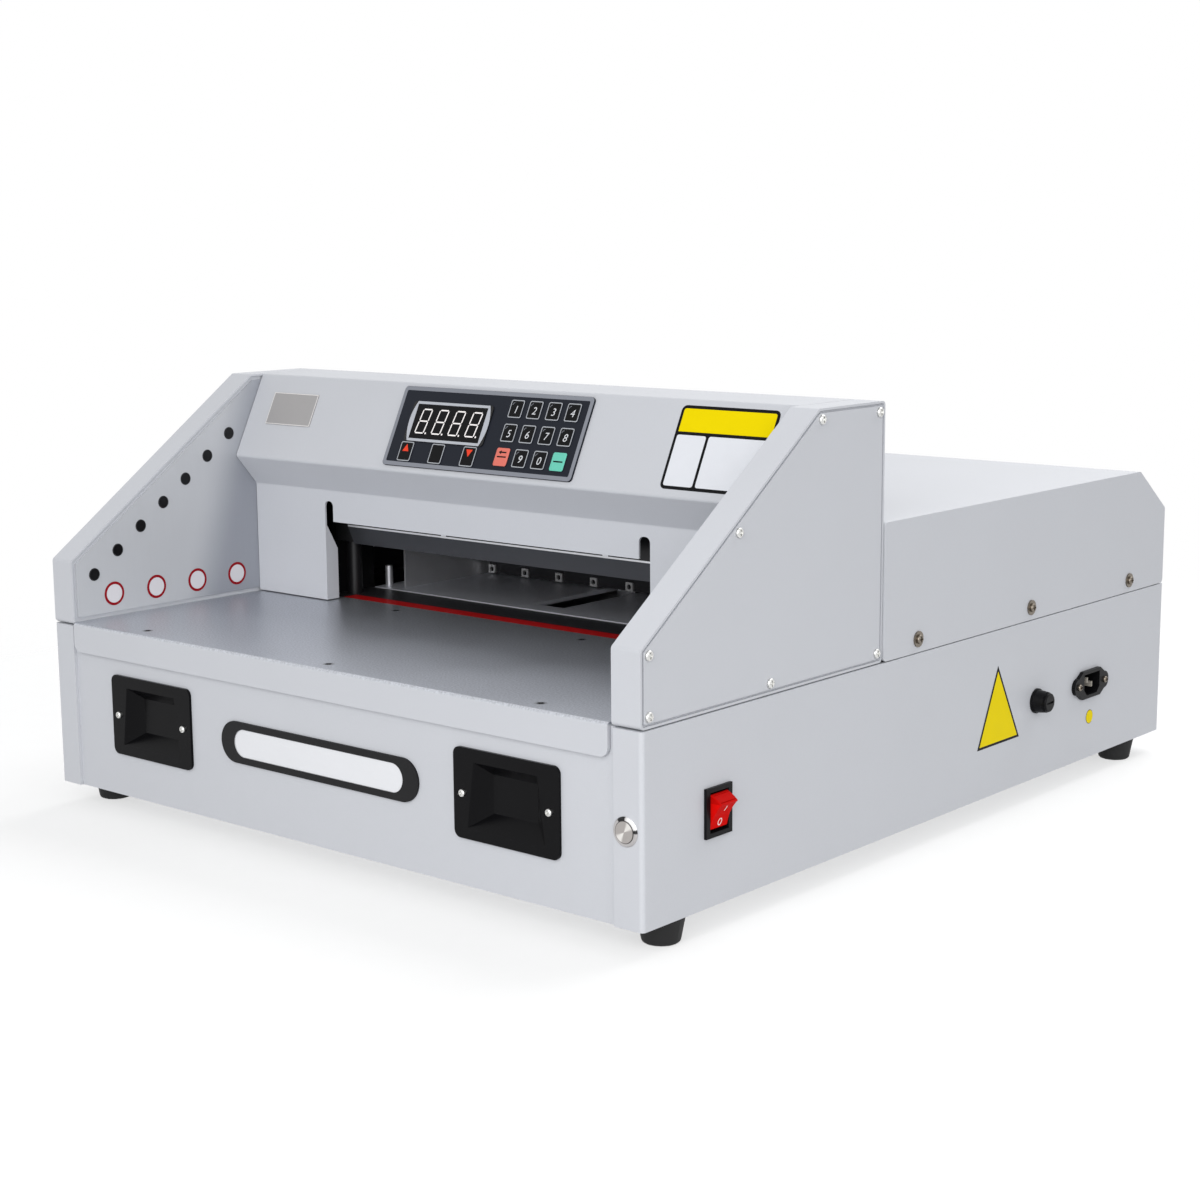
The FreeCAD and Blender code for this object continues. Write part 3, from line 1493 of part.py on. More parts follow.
def handle_cups():
    cups = []
    face = panel_face - cup_plate_thickness
    floor = face + cup_depth
    for x in cup_x:
        plate = box(x - cup_plate_width / 2, x + cup_plate_width / 2, face, panel_face,
                    cup_z - cup_plate_height / 2, cup_z + cup_plate_height / 2)
        plate = rounded(plate, along_y, cup_plate_corner)
        bowl = cup_hollow(x, face, floor + cup_wall, cup_wall)
        well = cup_hollow(x, face - 0.01, floor, 0)
        holes = [screw_hole(seat, -along_y, cup_screw_diameter) for seat in cup_screw_seats()]
        cups.append(joined([plate, bowl]).cut([well] + holes))
    return group(cups)


def front_badge():
    front = panel_face - badge_thickness
    frame = obround_y(badge_x, badge_z, badge_width, badge_height, front, panel_face)
    inner_width = badge_width - 2 * badge_end_rim
    inner_height = badge_height - 2 * badge_rim
    pocket = obround_y(badge_x, badge_z, inner_width, inner_height, front - 1, panel_face + 1)
    plate = obround_y(badge_x, badge_z, inner_width - slide_fit, inner_height - slide_fit,
                      front + badge_plate_sink, panel_face)
    return group([frame.cut(pocket), plate])


def start_button_housing():
    ring = cylinder(point(button_x, -button_ring_proud, button_z), along_y, button_ring_diameter,
                    button_ring_proud)
    front_edges = [edge for edge in ring.Edges if edge.BoundBox.YMax < -button_ring_proud + 0.01]
    ring = ring.makeChamfer(button_ring_chamfer, front_edges)
    body = cylinder(point(button_x, -0.5, button_z), along_y, button_body_diameter, button_body_length)
    nut = cylinder(point(button_x, base_sheet, button_z), along_y, button_nut_width, button_nut_thickness)
    bore = cylinder(point(button_x, -button_ring_proud - 1, button_z), along_y,
                    button_cap_diameter + 2 * slide_fit, button_bore_depth + 1)
    return joined([ring, body, nut]).cut(bore)


def start_button():
    length = button_bore_depth - button_travel - seat_gap + button_cap_proud
    cap = cylinder(point(button_x, -button_ring_proud - button_cap_proud, button_z), along_y,
                   button_cap_diameter, length)
    front = -button_ring_proud - button_cap_proud
    front_edges = [edge for edge in cap.Edges if edge.BoundBox.YMax < front + 0.01]
    return cap.makeFillet(button_cap_proud * 0.6, front_edges)


def switch_housing_block(half_y, half_z, x0, x1):
    return box(x0, x1, switch_y - half_y, switch_y + half_y, switch_z - half_z, switch_z + half_z)


def power_switch_housing():
    bezel = switch_housing_block(switch_width / 2, switch_height / 2, half_width, half_width + switch_bezel)
    body = switch_housing_block(switch_body_width / 2, switch_body_height / 2,
                                half_width - switch_body_depth, half_width + switch_bezel)
    well = switch_housing_block(rocker_width / 2 + rocker_gap, rocker_height / 2 + rocker_gap,
                                half_width - switch_well_depth, half_width + switch_bezel + 1)
    cheeks = cylinder(point(rocker_pivot_x(), switch_y - switch_body_width / 2, switch_z), along_y,
                      rocker_hub / 2, switch_body_width)
    return joined([joined([bezel, body]).cut(well), cheeks])


def rocker_pivot_x():
    return half_width - rocker_pivot_depth


def power_rocker():
    # A wedge whose lower half lies in the bezel's plane while its upper half stands out.
    face = half_width + switch_bezel
    half = rocker_height / 2
    outline = [(face - rocker_low_sink, switch_z - half),
               (face + rocker_lift, switch_z + half * rocker_peak_share),
               (face - rocker_top_sink, switch_z + half),
               (face - rocker_shoulder_sink, switch_z + half * rocker_shoulder_share),
               (rocker_pivot_x() - rocker_root, switch_z),
               (face - rocker_foot_sink, switch_z - half * rocker_foot_share)]
    wedge = prism_y(outline, switch_y - rocker_width / 2, switch_y + rocker_width / 2)
    hub = cylinder(point(rocker_pivot_x(), switch_y - rocker_width / 2, switch_z), along_y,
                   rocker_hub, rocker_width)
    bore = cylinder(point(rocker_pivot_x(), switch_y - rocker_width, switch_z), along_y,
                    rocker_hub / 2 + 2 * slide_fit, 2 * rocker_width)
    return joined([wedge, hub]).cut(bore)


def fuse_holder():
    ring = cylinder(point(half_width, fuse_y, fuse_z), along_x, fuse_ring_diameter, fuse_ring_thickness)
    body = cylinder(point(half_width - fuse_body_length, fuse_y, fuse_z), along_x, fuse_body_diameter,
                    fuse_body_length + 1)
    bore = cylinder(point(half_width - fuse_body_length + 4, fuse_y, fuse_z), along_x, fuse_bore_diameter,
                    fuse_body_length)
    return joined([ring, body]).cut(bore)


def fuse_cap():
    start = half_width + fuse_ring_thickness
    cap = cylinder(point(start, fuse_y, fuse_z), along_x, fuse_cap_diameter, fuse_cap_length)
    end_edges = [edge for edge in cap.Edges if edge.BoundBox.XMin > start + fuse_cap_length - 0.01]
    cap = cap.makeFillet(fuse_cap_round, end_edges)
    skirt = Part.makeCone(fuse_skirt_diameter / 2, fuse_skirt_end_diameter / 2, fuse_skirt_length,
                          point(start, fuse_y, fuse_z), along_x)
    stub = cylinder(point(start - fuse_stub_length, fuse_y, fuse_z), along_x, fuse_stub_diameter,
                    fuse_stub_length + 1)
    slot = box(start + fuse_cap_length - fuse_slot_depth, start + fuse_cap_length + 1,
               fuse_y - fuse_cap_diameter / 3, fuse_y + fuse_cap_diameter / 3,
               fuse_z - fuse_slot_width / 2, fuse_z + fuse_slot_width / 2)
    return joined([cap, skirt, stub]).cut(slot)


def inlet_flange():
    # A rhombic flange: a square middle that tapers to a round ear at each screw.
    ear_y = inlet_screw_spacing / 2
    half_body = inlet_body_width / 2
    half_height = inlet_flange_height / 2
    outline = [(inlet_y - ear_y, inlet_z - inlet_ear_radius), (inlet_y - half_body, inlet_z - half_height),
               (inlet_y + half_body, inlet_z - half_height), (inlet_y + ear_y, inlet_z - inlet_ear_radius),
               (inlet_y + ear_y, inlet_z + inlet_ear_radius), (inlet_y + half_body, inlet_z + half_height),
               (inlet_y - half_body, inlet_z + half_height), (inlet_y - ear_y, inlet_z + inlet_ear_radius)]
    plate = prism_x(outline, half_width, half_width + inlet_flange_thickness)
    ears = [cylinder(point(half_width, inlet_y + side * ear_y, inlet_z), along_x, 2 * inlet_ear_radius,
                     inlet_flange_thickness) for side in (-1, 1)]
    return joined([plate] + ears)


def power_inlet():
    face = half_width + inlet_flange_thickness
    body = box(half_width - inlet_body_depth, half_width + 1,
               inlet_y - inlet_body_width / 2, inlet_y + inlet_body_width / 2,
               inlet_z - inlet_body_height / 2, inlet_z + inlet_body_height / 2)
    socket = box(face - inlet_socket_depth, face + 1, inlet_y - inlet_socket_width / 2,
                 inlet_y + inlet_socket_width / 2, inlet_z - inlet_socket_height / 2,
                 inlet_z + inlet_socket_height / 2)
    lower_edges = [edge for edge in edges_along(socket, along_x) if edge.BoundBox.ZMax < inlet_z]
    socket = socket.makeChamfer(inlet_socket_corner, lower_edges)
    floor = face - inlet_socket_depth
    housing = joined([inlet_flange(), body]).cut(socket)
    housing = housing.cut([screw_hole(seat, along_x) for seat in inlet_screw_seats()])
    pins = []
    pin_places = ((-inlet_pin_spacing, -inlet_pin_rise), (0, inlet_pin_rise),
                  (inlet_pin_spacing, -inlet_pin_rise))
    for shift, rise in pin_places:
        y = inlet_y + shift
        z = inlet_z + rise
        pins.append(box(floor - inlet_pin_root, floor - inlet_pin_root + inlet_pin_length,
                        y - inlet_pin_thickness / 2, y + inlet_pin_thickness / 2,
                        z - inlet_pin_width / 2, z + inlet_pin_width / 2))
    return group([housing.cut(pins)] + pins)


def control_board():
    left = electronics_left
    right = left + board_width
    rear = board_front + board_depth
    bottom = floor_top + standoff_height
    top = bottom + board_thickness
    board = box(left, right, board_front, rear, bottom, top)
    posts = []
    for x in (left + standoff_inset, right - standoff_inset):
        for y in (board_front + standoff_inset, rear - standoff_inset):
            posts.append(cylinder(point(x, y, floor_top), along_z, standoff_diameter,
                                  standoff_height + part_sink))
    relays = []
    for index in range(relay_count):
        x = left + relay_margin + index * relay_pitch
        y = board_front + relay_front_margin
        relays.append(box(x, x + relay_side, y, y + relay_side, top - part_sink, top + relay_height))
    sink_rear = rear - sink_rear_margin
    sink = box(left + relay_margin, right - relay_margin, sink_rear - sink_depth, sink_rear,
               top - part_sink, top + sink_height)
    return joined([board] + posts + relays + [sink])


def power_supply():
    left = electronics_left
    right = left + supply_width
    top = floor_top + supply_height
    case = box(left, right, supply_front, supply_front + supply_depth, floor_top, top)
    slots = []
    for index in range(supply_slot_count):
        y = supply_front + supply_slot_front_margin + index * supply_slot_pitch
        slots.append(box(left + supply_slot_margin, right - supply_slot_margin, y, y + supply_slot_width,
                         top - supply_slot_depth, top + 1))
    return case.cut(slots)


makers = [
    base_left_panel, base_right_panel, base_front_panel, base_rear_panel, base_floor, rubber_feet,
    front_table, table_screws, rear_table, machine_bed, cutting_stick, side_frames, guide_beam, frame_bolts,
    knife, knife_carrier, knife_bolts, knife_guide_blocks, pull_rod, crank_gear, drive_plate, knife_motor,
    knife_pinion, clamp_beam, clamp_guide_rods, clamp_yoke, clamp_spindle, clamp_bracket, clamp_motor,
    clamp_pinion, back_gauge_fence, gauge_carriage, gauge_lead_screw, gauge_guide_rods, rear_support,
    gauge_motor, motor_pulley, gauge_belt, side_guides, left_cheek, right_cheek, cheek_inner_panels,
    side_covers, light_lenses, hood, rear_cover, case_screws, keypad_panel, display_window, handle_cups,
    front_badge, start_button_housing, start_button, power_switch_housing, power_rocker, fuse_holder,
    fuse_cap, power_inlet, control_board, power_supply,
]


def origin_shift():
    # The part's origin is the middle of its footprint, on the plane that the feet stand on.
    left = -half_width - washer_thickness - screw_head_height
    right = half_width + fuse_ring_thickness + fuse_cap_length
    front = -button_ring_proud - button_cap_proud
    return point(-(left + right) / 2, -(front + base_depth) / 2, foot_height)


def main():
    os.makedirs("parts", exist_ok=True)
    shift = origin_shift()
    for maker in makers:
        shape = maker()
        shape.translate(shift)
        shape.exportStep("parts/" + maker.__name__ + ".step")


main()
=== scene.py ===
import math
import bmesh
import bpy
from mathutils import Matrix, Vector


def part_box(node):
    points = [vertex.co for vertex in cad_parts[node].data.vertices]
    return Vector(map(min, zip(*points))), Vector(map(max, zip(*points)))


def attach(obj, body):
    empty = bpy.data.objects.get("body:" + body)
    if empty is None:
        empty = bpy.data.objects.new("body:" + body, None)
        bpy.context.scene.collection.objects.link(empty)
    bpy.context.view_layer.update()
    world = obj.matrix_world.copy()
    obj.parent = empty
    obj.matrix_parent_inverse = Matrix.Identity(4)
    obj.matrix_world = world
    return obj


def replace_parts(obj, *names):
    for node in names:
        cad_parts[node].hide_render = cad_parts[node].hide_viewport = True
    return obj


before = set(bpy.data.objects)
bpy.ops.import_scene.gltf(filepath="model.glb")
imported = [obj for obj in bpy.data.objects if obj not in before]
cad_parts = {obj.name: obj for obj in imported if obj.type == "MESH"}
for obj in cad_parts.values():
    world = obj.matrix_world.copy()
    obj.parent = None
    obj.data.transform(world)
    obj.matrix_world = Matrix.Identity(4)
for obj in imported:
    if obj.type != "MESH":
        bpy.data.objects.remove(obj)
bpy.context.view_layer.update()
scene = bpy.context.scene
print("frame in place")

# The machine's own millimetres: mid plane X = 0, front of the posts Y = 0, underside of the base Z = 0
hoodLow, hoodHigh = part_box("hood")
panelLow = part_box("base_right_panel")[0]
machineOrigin = Vector(((hoodLow.x + hoodHigh.x) / 2, panelLow.y, panelLow.z))
millimetre = 0.001


def place(x, y, z):
    return machineOrigin + Vector((x, y, z)) * millimetre


def linked(name, data):
    made = bpy.data.objects.new(name, data)
    scene.collection.objects.link(made)
    return made


# Node trees: a wire stands for one socket, and sums on wires add their Math nodes

class Wire:
    def __init__(self, bench, socket):
        self.bench = bench
        self.socket = socket

    def __add__(self, other):
        return self.bench.maths("ADD", self, other)

    def __radd__(self, other):
        return self.bench.maths("ADD", other, self)

    def __sub__(self, other):
        return self.bench.maths("SUBTRACT", self, other)

    def __rsub__(self, other):
        return self.bench.maths("SUBTRACT", other, self)

    def __mul__(self, other):
        return self.bench.maths("MULTIPLY", self, other)

    def __rmul__(self, other):
        return self.bench.maths("MULTIPLY", other, self)

    def __pow__(self, other):
        return self.bench.maths("POWER", self, other)

    def size(self):
        return self.bench.maths("ABSOLUTE", self)

    def wave(self):
        return self.bench.maths("SINE", self)

    def above(self, edge, soft):
        # 0 below the edge, 1 above it, with a soft step of that width
        return self.bench.node("ShaderNodeMapRange", {"interpolation_type": "SMOOTHSTEP"},
                               {"Value": self, "From Min": edge - soft / 2, "From Max": edge + soft / 2})

    def within(self, low, high, soft):
        return self.above(low, soft) * (1 - self.above(high, soft))


class Bench:
    def __init__(self, tree):
        self.tree = tree
        tree.nodes.clear()

    def node(self, kind, settings, inputs, output=0):
        made = self.tree.nodes.new(kind)
        for key, value in settings.items():
            setattr(made, key, value)
        for key, value in inputs.items():
            if isinstance(value, Wire):
                self.tree.links.new(value.socket, made.inputs[key])
            else:
                made.inputs[key].default_value = value
        return Wire(self, made.outputs[output]) if len(made.outputs) else None

    def maths(self, operation, first, second=0.0):
        return self.node("ShaderNodeMath", {"operation": operation}, {0: first, 1: second})

    def objectPlace(self):
        return self.node("ShaderNodeTexCoord", {}, {}, "Object")

    def stretched(self, vector, scale):
        return self.node("ShaderNodeVectorMath", {"operation": "MULTIPLY"}, {0: vector, 1: scale})

    def toned(self, colour, tone):
        return self.node("ShaderNodeVectorMath", {"operation": "SCALE"}, {0: colour, "Scale": tone})

    def split(self, vector):
        outputs = self.node("ShaderNodeSeparateXYZ", {}, {0: vector}).socket.node.outputs
        return [Wire(self, output) for output in outputs]

    def inMachine(self, spot):
        # A place on the object in the machine's own millimetres
        return [(part - start) * (1 / millimetre) for part, start in zip(self.split(spot), machineOrigin)]

    def noise(self, vector, scale, detail=2.0, roughness=0.5):
        return self.node("ShaderNodeTexNoise", {}, {"Vector": vector, "Scale": scale, "Detail": detail,
                                                    "Roughness": roughness})

    def mixed(self, share, first, second):
        return self.node("ShaderNodeMix", {"data_type": "RGBA"}, {0: share, 6: first, 7: second}, 2)

    def plain(self, colour):
        return self.mixed(1.0, colour, colour)

    def covers(self, shader):
        self.node("ShaderNodeOutputMaterial", {}, {"Surface": shader})


def apart(across, along):
    # The distance that two reaches at a right angle make
    return (across * across + along * along) ** 0.5


def materialBench(name):
    material = bpy.data.materials.new(name)
    material.use_nodes = True
    return material, Bench(material.node_tree)


def linear(channel):
    share = channel / 255
    return share / 12.92 if share <= 0.04045 else ((share + 0.055) / 1.055) ** 2.4


def ink(red, green, blue):
    return (linear(red), linear(green), linear(blue), 1.0)


def finish(name, settings, paint=None, relief=None, shine=None):
    # One finish: a colour with grain and cloud, its roughness and its relief
    material, bench = materialBench(name)
    spot = bench.objectPlace()
    grain = bench.noise(bench.stretched(spot, settings["grain"]), 1.0, detail=3.0, roughness=0.6)
    cloud = bench.noise(spot, settings["cloud"])
    share = grain * settings["grainShare"] + cloud * (1 - settings["grainShare"])
    colour = paint(bench, spot) if paint else bench.plain(settings["colour"])
    colour = bench.toned(colour, settings["dark"] + share * (settings["light"] - settings["dark"]))
    height = grain * settings["depth"]
    if relief:
        height = relief(bench, spot) + height
    rough = settings["rough"] + (share - 0.5) * settings["roughSpread"]
    metallic = settings.get("metallic", 0.0)
    if shine:
        metallic, rough = shine(bench, spot, rough)
    bump = bench.node("ShaderNodeBump", {}, {"Height": height, "Distance": 1.0, "Strength": 1.0})
    inputs = {"Base Color": colour, "Roughness": rough, "Metallic": metallic, "Normal": bump,
              "Specular IOR Level": settings.get("specular", 0.5)}
    if "glow" in settings:
        inputs["Emission Color"] = colour
        inputs["Emission Strength"] = settings["glow"]
    bench.covers(bench.node("ShaderNodeBsdfPrincipled", {}, inputs))
    return material


def powder(red, green, blue, **changes):
    return {"colour": ink(red, green, blue), "grain": (1500.0, 1500.0, 1500.0), "cloud": 14.0,
            "grainShare": 0.7, "dark": 0.93, "light": 1.07, "rough": 0.5, "roughSpread": 0.2,
            "depth": 0.00006, **changes}


def metal(red, green, blue, **changes):
    return {"colour": ink(red, green, blue), "grain": (900.0, 900.0, 900.0), "cloud": 60.0,
            "grainShare": 0.7, "dark": 0.84, "light": 1.12, "rough": 0.34, "roughSpread": 0.2,
            "depth": 0.00001, "metallic": 1.0, **changes}


def moulded(red, green, blue, **changes):
    return {"colour": ink(red, green, blue), "grain": (2200.0, 2200.0, 2200.0), "cloud": 40.0,
            "grainShare": 0.5, "dark": 0.86, "light": 1.14, "rough": 0.36, "roughSpread": 0.14,
            "depth": 0.00001, "specular": 0.35, **changes}


casingSettings = powder(190, 192, 197)
steelSettings = metal(170, 171, 175, grain=(60.0, 1800.0, 1800.0), depth=0.00002)
finishes = {
    "casing": finish("greyPowderCoat", casingSettings),
    "table": finish("rearTableCoat", powder(204, 206, 213, metallic=0.5, rough=0.36)),
    "black_steel": finish("blackCoat", powder(36, 36, 39, dark=0.8, light=1.2, rough=0.42, specular=0.3)),
    "steel": finish("brushedSteel", steelSettings),
    "zinc": finish("zincPlate", metal(214, 214, 212, cloud=200.0, rough=0.3)),
    "brass": finish("turnedBrass", metal(198, 160, 88)),
    "black_plastic": finish("blackPlastic", moulded(15, 15, 17, specular=0.1)),
    "red_plastic": finish("redStick", moulded(176, 16, 18, specular=0.2, rough=0.5)),
    "rubber": finish("blackRubber", moulded(22, 22, 23, rough=0.7, depth=0.00004)),
    "panel_film": finish("panelFilm", moulded(30, 33, 41, cloud=30.0, dark=0.92, light=1.08, rough=0.42,
                                              specular=0.1)),
    "window": finish("tintedWindow", moulded(10, 9, 12, rough=0.14, depth=0.000001)),
    "lens": finish("darkLens", moulded(12, 11, 13, rough=0.3, specular=0.3)),
    "board": finish("circuitBoard", moulded(22, 92, 52, cloud=120.0)),
    "motor": finish("motorBlack", powder(42, 42, 46, dark=0.8, light=1.2, rough=0.45)),
}


def twoTone(settings):
    # A paint that changes from the near colour to the far one at an edge across one axis
    def paint(bench, spot):
        beyond = bench.inMachine(spot)[settings["axis"]].above(settings["edge"], settings["soft"])
        return bench.mixed(beyond, settings["near"], settings["far"])
    return paint


# The screws of the rear cover and the inlet are duller than the rest
screwSettings = {"axis": 1, "edge": 255.0, "soft": 2.0, "near": ink(216, 216, 214), "far": ink(126, 118, 108)}
# The fence is dark, with bright lugs on its front
fenceSettings = {"axis": 1, "edge": 346.8, "soft": 0.2, "near": ink(190, 190, 190), "far": ink(44, 44, 47)}

tableSettings = powder(190, 192, 197, rough=0.48, depth=0.00001, top=ink(192, 195, 202), topHeight=121.0,
                       topSoft=2.0, fleck=760.0, fleckShare=0.8, fleckDepth=0.00002, topMetallic=0.85,
                       topSmooth=0.13)


def tableTop(bench, spot):
    return bench.inMachine(spot)[2].above(tableSettings["topHeight"], tableSettings["topSoft"])


def tableFlecks(bench, spot):
    return bench.noise(spot, tableSettings["fleck"], detail=1.0)


def tablePaint(bench, spot):
    # The top mirrors the throat in coarse flakes, while the folded front edge is lit like the casing
    tone = 1 + (tableFlecks(bench, spot) - 0.5) * tableSettings["fleckShare"]
    flaked = bench.toned(bench.plain(tableSettings["top"]), tone)
    return bench.mixed(tableTop(bench, spot), tableSettings["colour"], flaked)


def tableRelief(bench, spot):
    return tableFlecks(bench, spot) * tableSettings["fleckDepth"]


def tableShine(bench, spot, rough):
    top = tableTop(bench, spot)
    return top * tableSettings["topMetallic"], rough - top * tableSettings["topSmooth"]


badgeSettings = {"x": 0.3, "z": 59.5, "halfRun": 72.0, "radius": 9.7, "soft": 0.2,
                 "plate": ink(219, 220, 223), "rim": ink(17, 17, 19)}


def badgePaint(bench, spot):
    # A white plate with round ends inside a black frame
    settings = badgeSettings
    x, y, z = bench.inMachine(spot)
    beyond = bench.maths("MAXIMUM", (x - settings["x"]).size() - settings["halfRun"])
    outside = apart(beyond, z - settings["z"]).above(settings["radius"], settings["soft"])
    return bench.mixed(outside, settings["plate"], settings["rim"])


# Flat heads, with painted shade in their recesses
tableScrewSettings = {"places": ((-188.0, 13.5), (2.0, 13.5), (190.0, 13.5), (-106.0, 180.6), (78.0, 180.6)),
                      "recess": 2.7, "soft": 0.3, "head": ink(150, 153, 158), "dark": ink(14, 14, 16)}


def tableScrewPaint(bench, spot):
    # Painted shade: a dark disc in the middle of each flat head, where its recess lies in shade
    settings = tableScrewSettings
    x, y, z = bench.inMachine(spot)
    dark = 0.0
    for screwX, screwY in settings["places"]:
        dark = (1 - apart(x - screwX, y - screwY).above(settings["recess"], settings["soft"])) + dark
    return bench.mixed(dark, settings["head"], settings["dark"])


# The left panel's coat, and the painted shade inside the casing
insideSettings = {"skin": -279.2, "skinSoft": 0.4, "behind": 250.0, "behindSoft": 2.0,
                  "coat": ink(190, 192, 197), "insideShade": ink(30, 30, 33)}


def leftPanelPaint(bench, spot):
    # Painted shade: behind the table the panel's inner face and flanges are near black, for the shade inside
    # the casing
    settings = insideSettings
    x, y, z = bench.inMachine(spot)
    inside = x.above(settings["skin"], settings["skinSoft"])
    behind = y.above(settings["behind"], settings["behindSoft"])
    return bench.mixed(inside * behind, settings["coat"], settings["insideShade"])


# The inner panels' own colour, and the painted shade towards the hood
innerSettings = {"y": 121.0, "z": 130.0, "lean": 0.3, "soft": 44.0, "face": ink(186, 188, 192),
                 "shaded": ink(147, 150, 158)}


def innerShadePaint(bench, spot):
    # Painted shade: the brushed face is darkened towards the hood, for the shaded corner that it mirrors
    settings = innerSettings
    x, y, z = bench.inMachine(spot)
    reach = (y - settings["y"]) - (z - settings["z"]) * settings["lean"]
    return bench.mixed(reach.above(0.0, settings["soft"]), settings["face"], settings["shaded"])


inletSettings = {"y": 536.6, "z": 58.6, "halfY": 8.2, "halfZ": 4.2, "reach": (267.3, 280.0), "soft": 0.1,
                 "body": ink(15, 15, 17), "pins": ink(166, 161, 152)}


def inletPaint(bench, spot):
    # Bright pins inside the black socket
    settings = inletSettings
    soft = settings["soft"]
    x, y, z = bench.inMachine(spot)
    beside = (y - settings["y"]).size().above(settings["halfY"], soft)
    beyond = (z - settings["z"]).size().above(settings["halfZ"], soft)
    pins = x.within(*settings["reach"], soft) * (1 - beside) * (1 - beyond)
    return bench.mixed(pins, settings["body"], settings["pins"])


# The knife's colours: the bevel, painted shade on the blade above it, and the bright colour of the painted
# highlight line and the keepers
knifeSettings = {"bevelTop": 178.2, "line": 1.3, "lineSoft": 0.3, "clips": (-72.0, 85.0), "clipHalf": 2.6,
                 "clipRise": 2.6, "soft": 0.4, "shadedBlade": ink(20, 20, 22), "bevel": ink(67, 69, 73),
                 "bright": ink(236, 237, 240)}


def knifePaint(bench, spot):
    # A ground bevel, a painted highlight line where it ends, the two keepers that stand on that line, and
    # painted shade on the blade above it under the hood
    settings = knifeSettings
    x, y, z = bench.inMachine(spot)
    bottom, lineSoft, soft = settings["bevelTop"], settings["lineSoft"], settings["soft"]
    bright = z.within(bottom, bottom + settings["line"], lineSoft)
    for clip in settings["clips"]:
        near = 1 - (x - clip).size().above(settings["clipHalf"], soft)
        bright = bright + near * z.within(bottom, bottom + settings["clipRise"], lineSoft)
    lower = bench.mixed(z.above(bottom, soft), settings["bevel"], settings["shadedBlade"])
    return bench.mixed(bench.maths("MINIMUM", bright, 1.0), lower, settings["bright"])


# The start button's cap has a painted highlight in two fans and painted shade in its groove; its ring has
# painted reflections
buttonSettings = {"x": 267.3, "z": 59.2, "rim": 6.5, "soft": 0.2, "turn": 48.0, "spread": 0.16,
                  "dull": ink(160, 155, 152), "bright": ink(218, 215, 211), "groove": ink(60, 57, 56),
                  "ring": ink(176, 173, 173), "lit": (18.0, 82.0), "litSoft": 0.4,
                  "glare": ink(238, 237, 237), "shades": ((88.0, 128.0), (2.0, 17.0)), "shadeSoft": 0.12,
                  "shade": ink(22, 22, 24)}


def aroundButton(bench, spot):
    # The distance from the button's axis and the angle about it
    x, y, z = bench.inMachine(spot)
    across, up = x - buttonSettings["x"], z - buttonSettings["z"]
    return apart(across, up), bench.maths("ARCTAN2", up, across)


def capPaint(bench, spot):
    # Painted highlight: the turned face is brighter in two fans, inside a groove with painted shade
    settings = buttonSettings
    away, angle = aroundButton(bench, spot)
    turned = (angle - math.radians(settings["turn"] - 90)).wave().size()
    fans = turned.above(1 - settings["spread"] / 2, settings["spread"])
    face = bench.mixed(fans, settings["dull"], settings["bright"])
    return bench.mixed(away.above(settings["rim"], settings["soft"]), face, settings["groove"])


def ringPaint(bench, spot):
    # Painted reflections: a painted highlight arc stands for a lamp mirrored in the polished ring, and two
    # short dark arcs for the dark room
    settings = buttonSettings
    away, angle = aroundButton(bench, spot)

    def arc(ends, soft):
        return angle.within(math.radians(ends[0]), math.radians(ends[1]), soft)

    ring = bench.mixed(arc(settings["lit"], settings["litSoft"]), settings["ring"], settings["glare"])
    dark = 0.0
    for ends in settings["shades"]:
        dark = arc(ends, settings["shadeSoft"]) + dark
    return bench.mixed(dark, ring, settings["shade"])


threadSettings = {
    "gauge_lead_screw": {"axis": 1, "centre": (-27.0, 0.0, 110.0), "ends": (266.0, 596.0), "lead": 10.0,
                         "starts": 2, "depth": 0.0006, "soft": 0.5},
    "clamp_spindle": {"axis": 2, "centre": (-17.0, 217.0, 0.0), "ends": (26.0, 98.0), "lead": 6.0,
                      "starts": 2, "depth": 0.0006, "soft": 0.5},
}


def threadRelief(settings):
    # A thread pressed into the bar between its ends, right-handed since the angle takes the axes in turn
    def relief(bench, spot):
        axis = settings["axis"]
        parts = [part - middle for part, middle in zip(bench.inMachine(spot), settings["centre"])]
        angle = bench.maths("ARCTAN2", parts[axis - 2], parts[axis - 1])
        turns = (parts[axis] * (2 * math.pi / settings["lead"]) + angle) * settings["starts"]
        return turns.wave() * settings["depth"] * parts[axis].within(*settings["ends"], settings["soft"])
    return relief


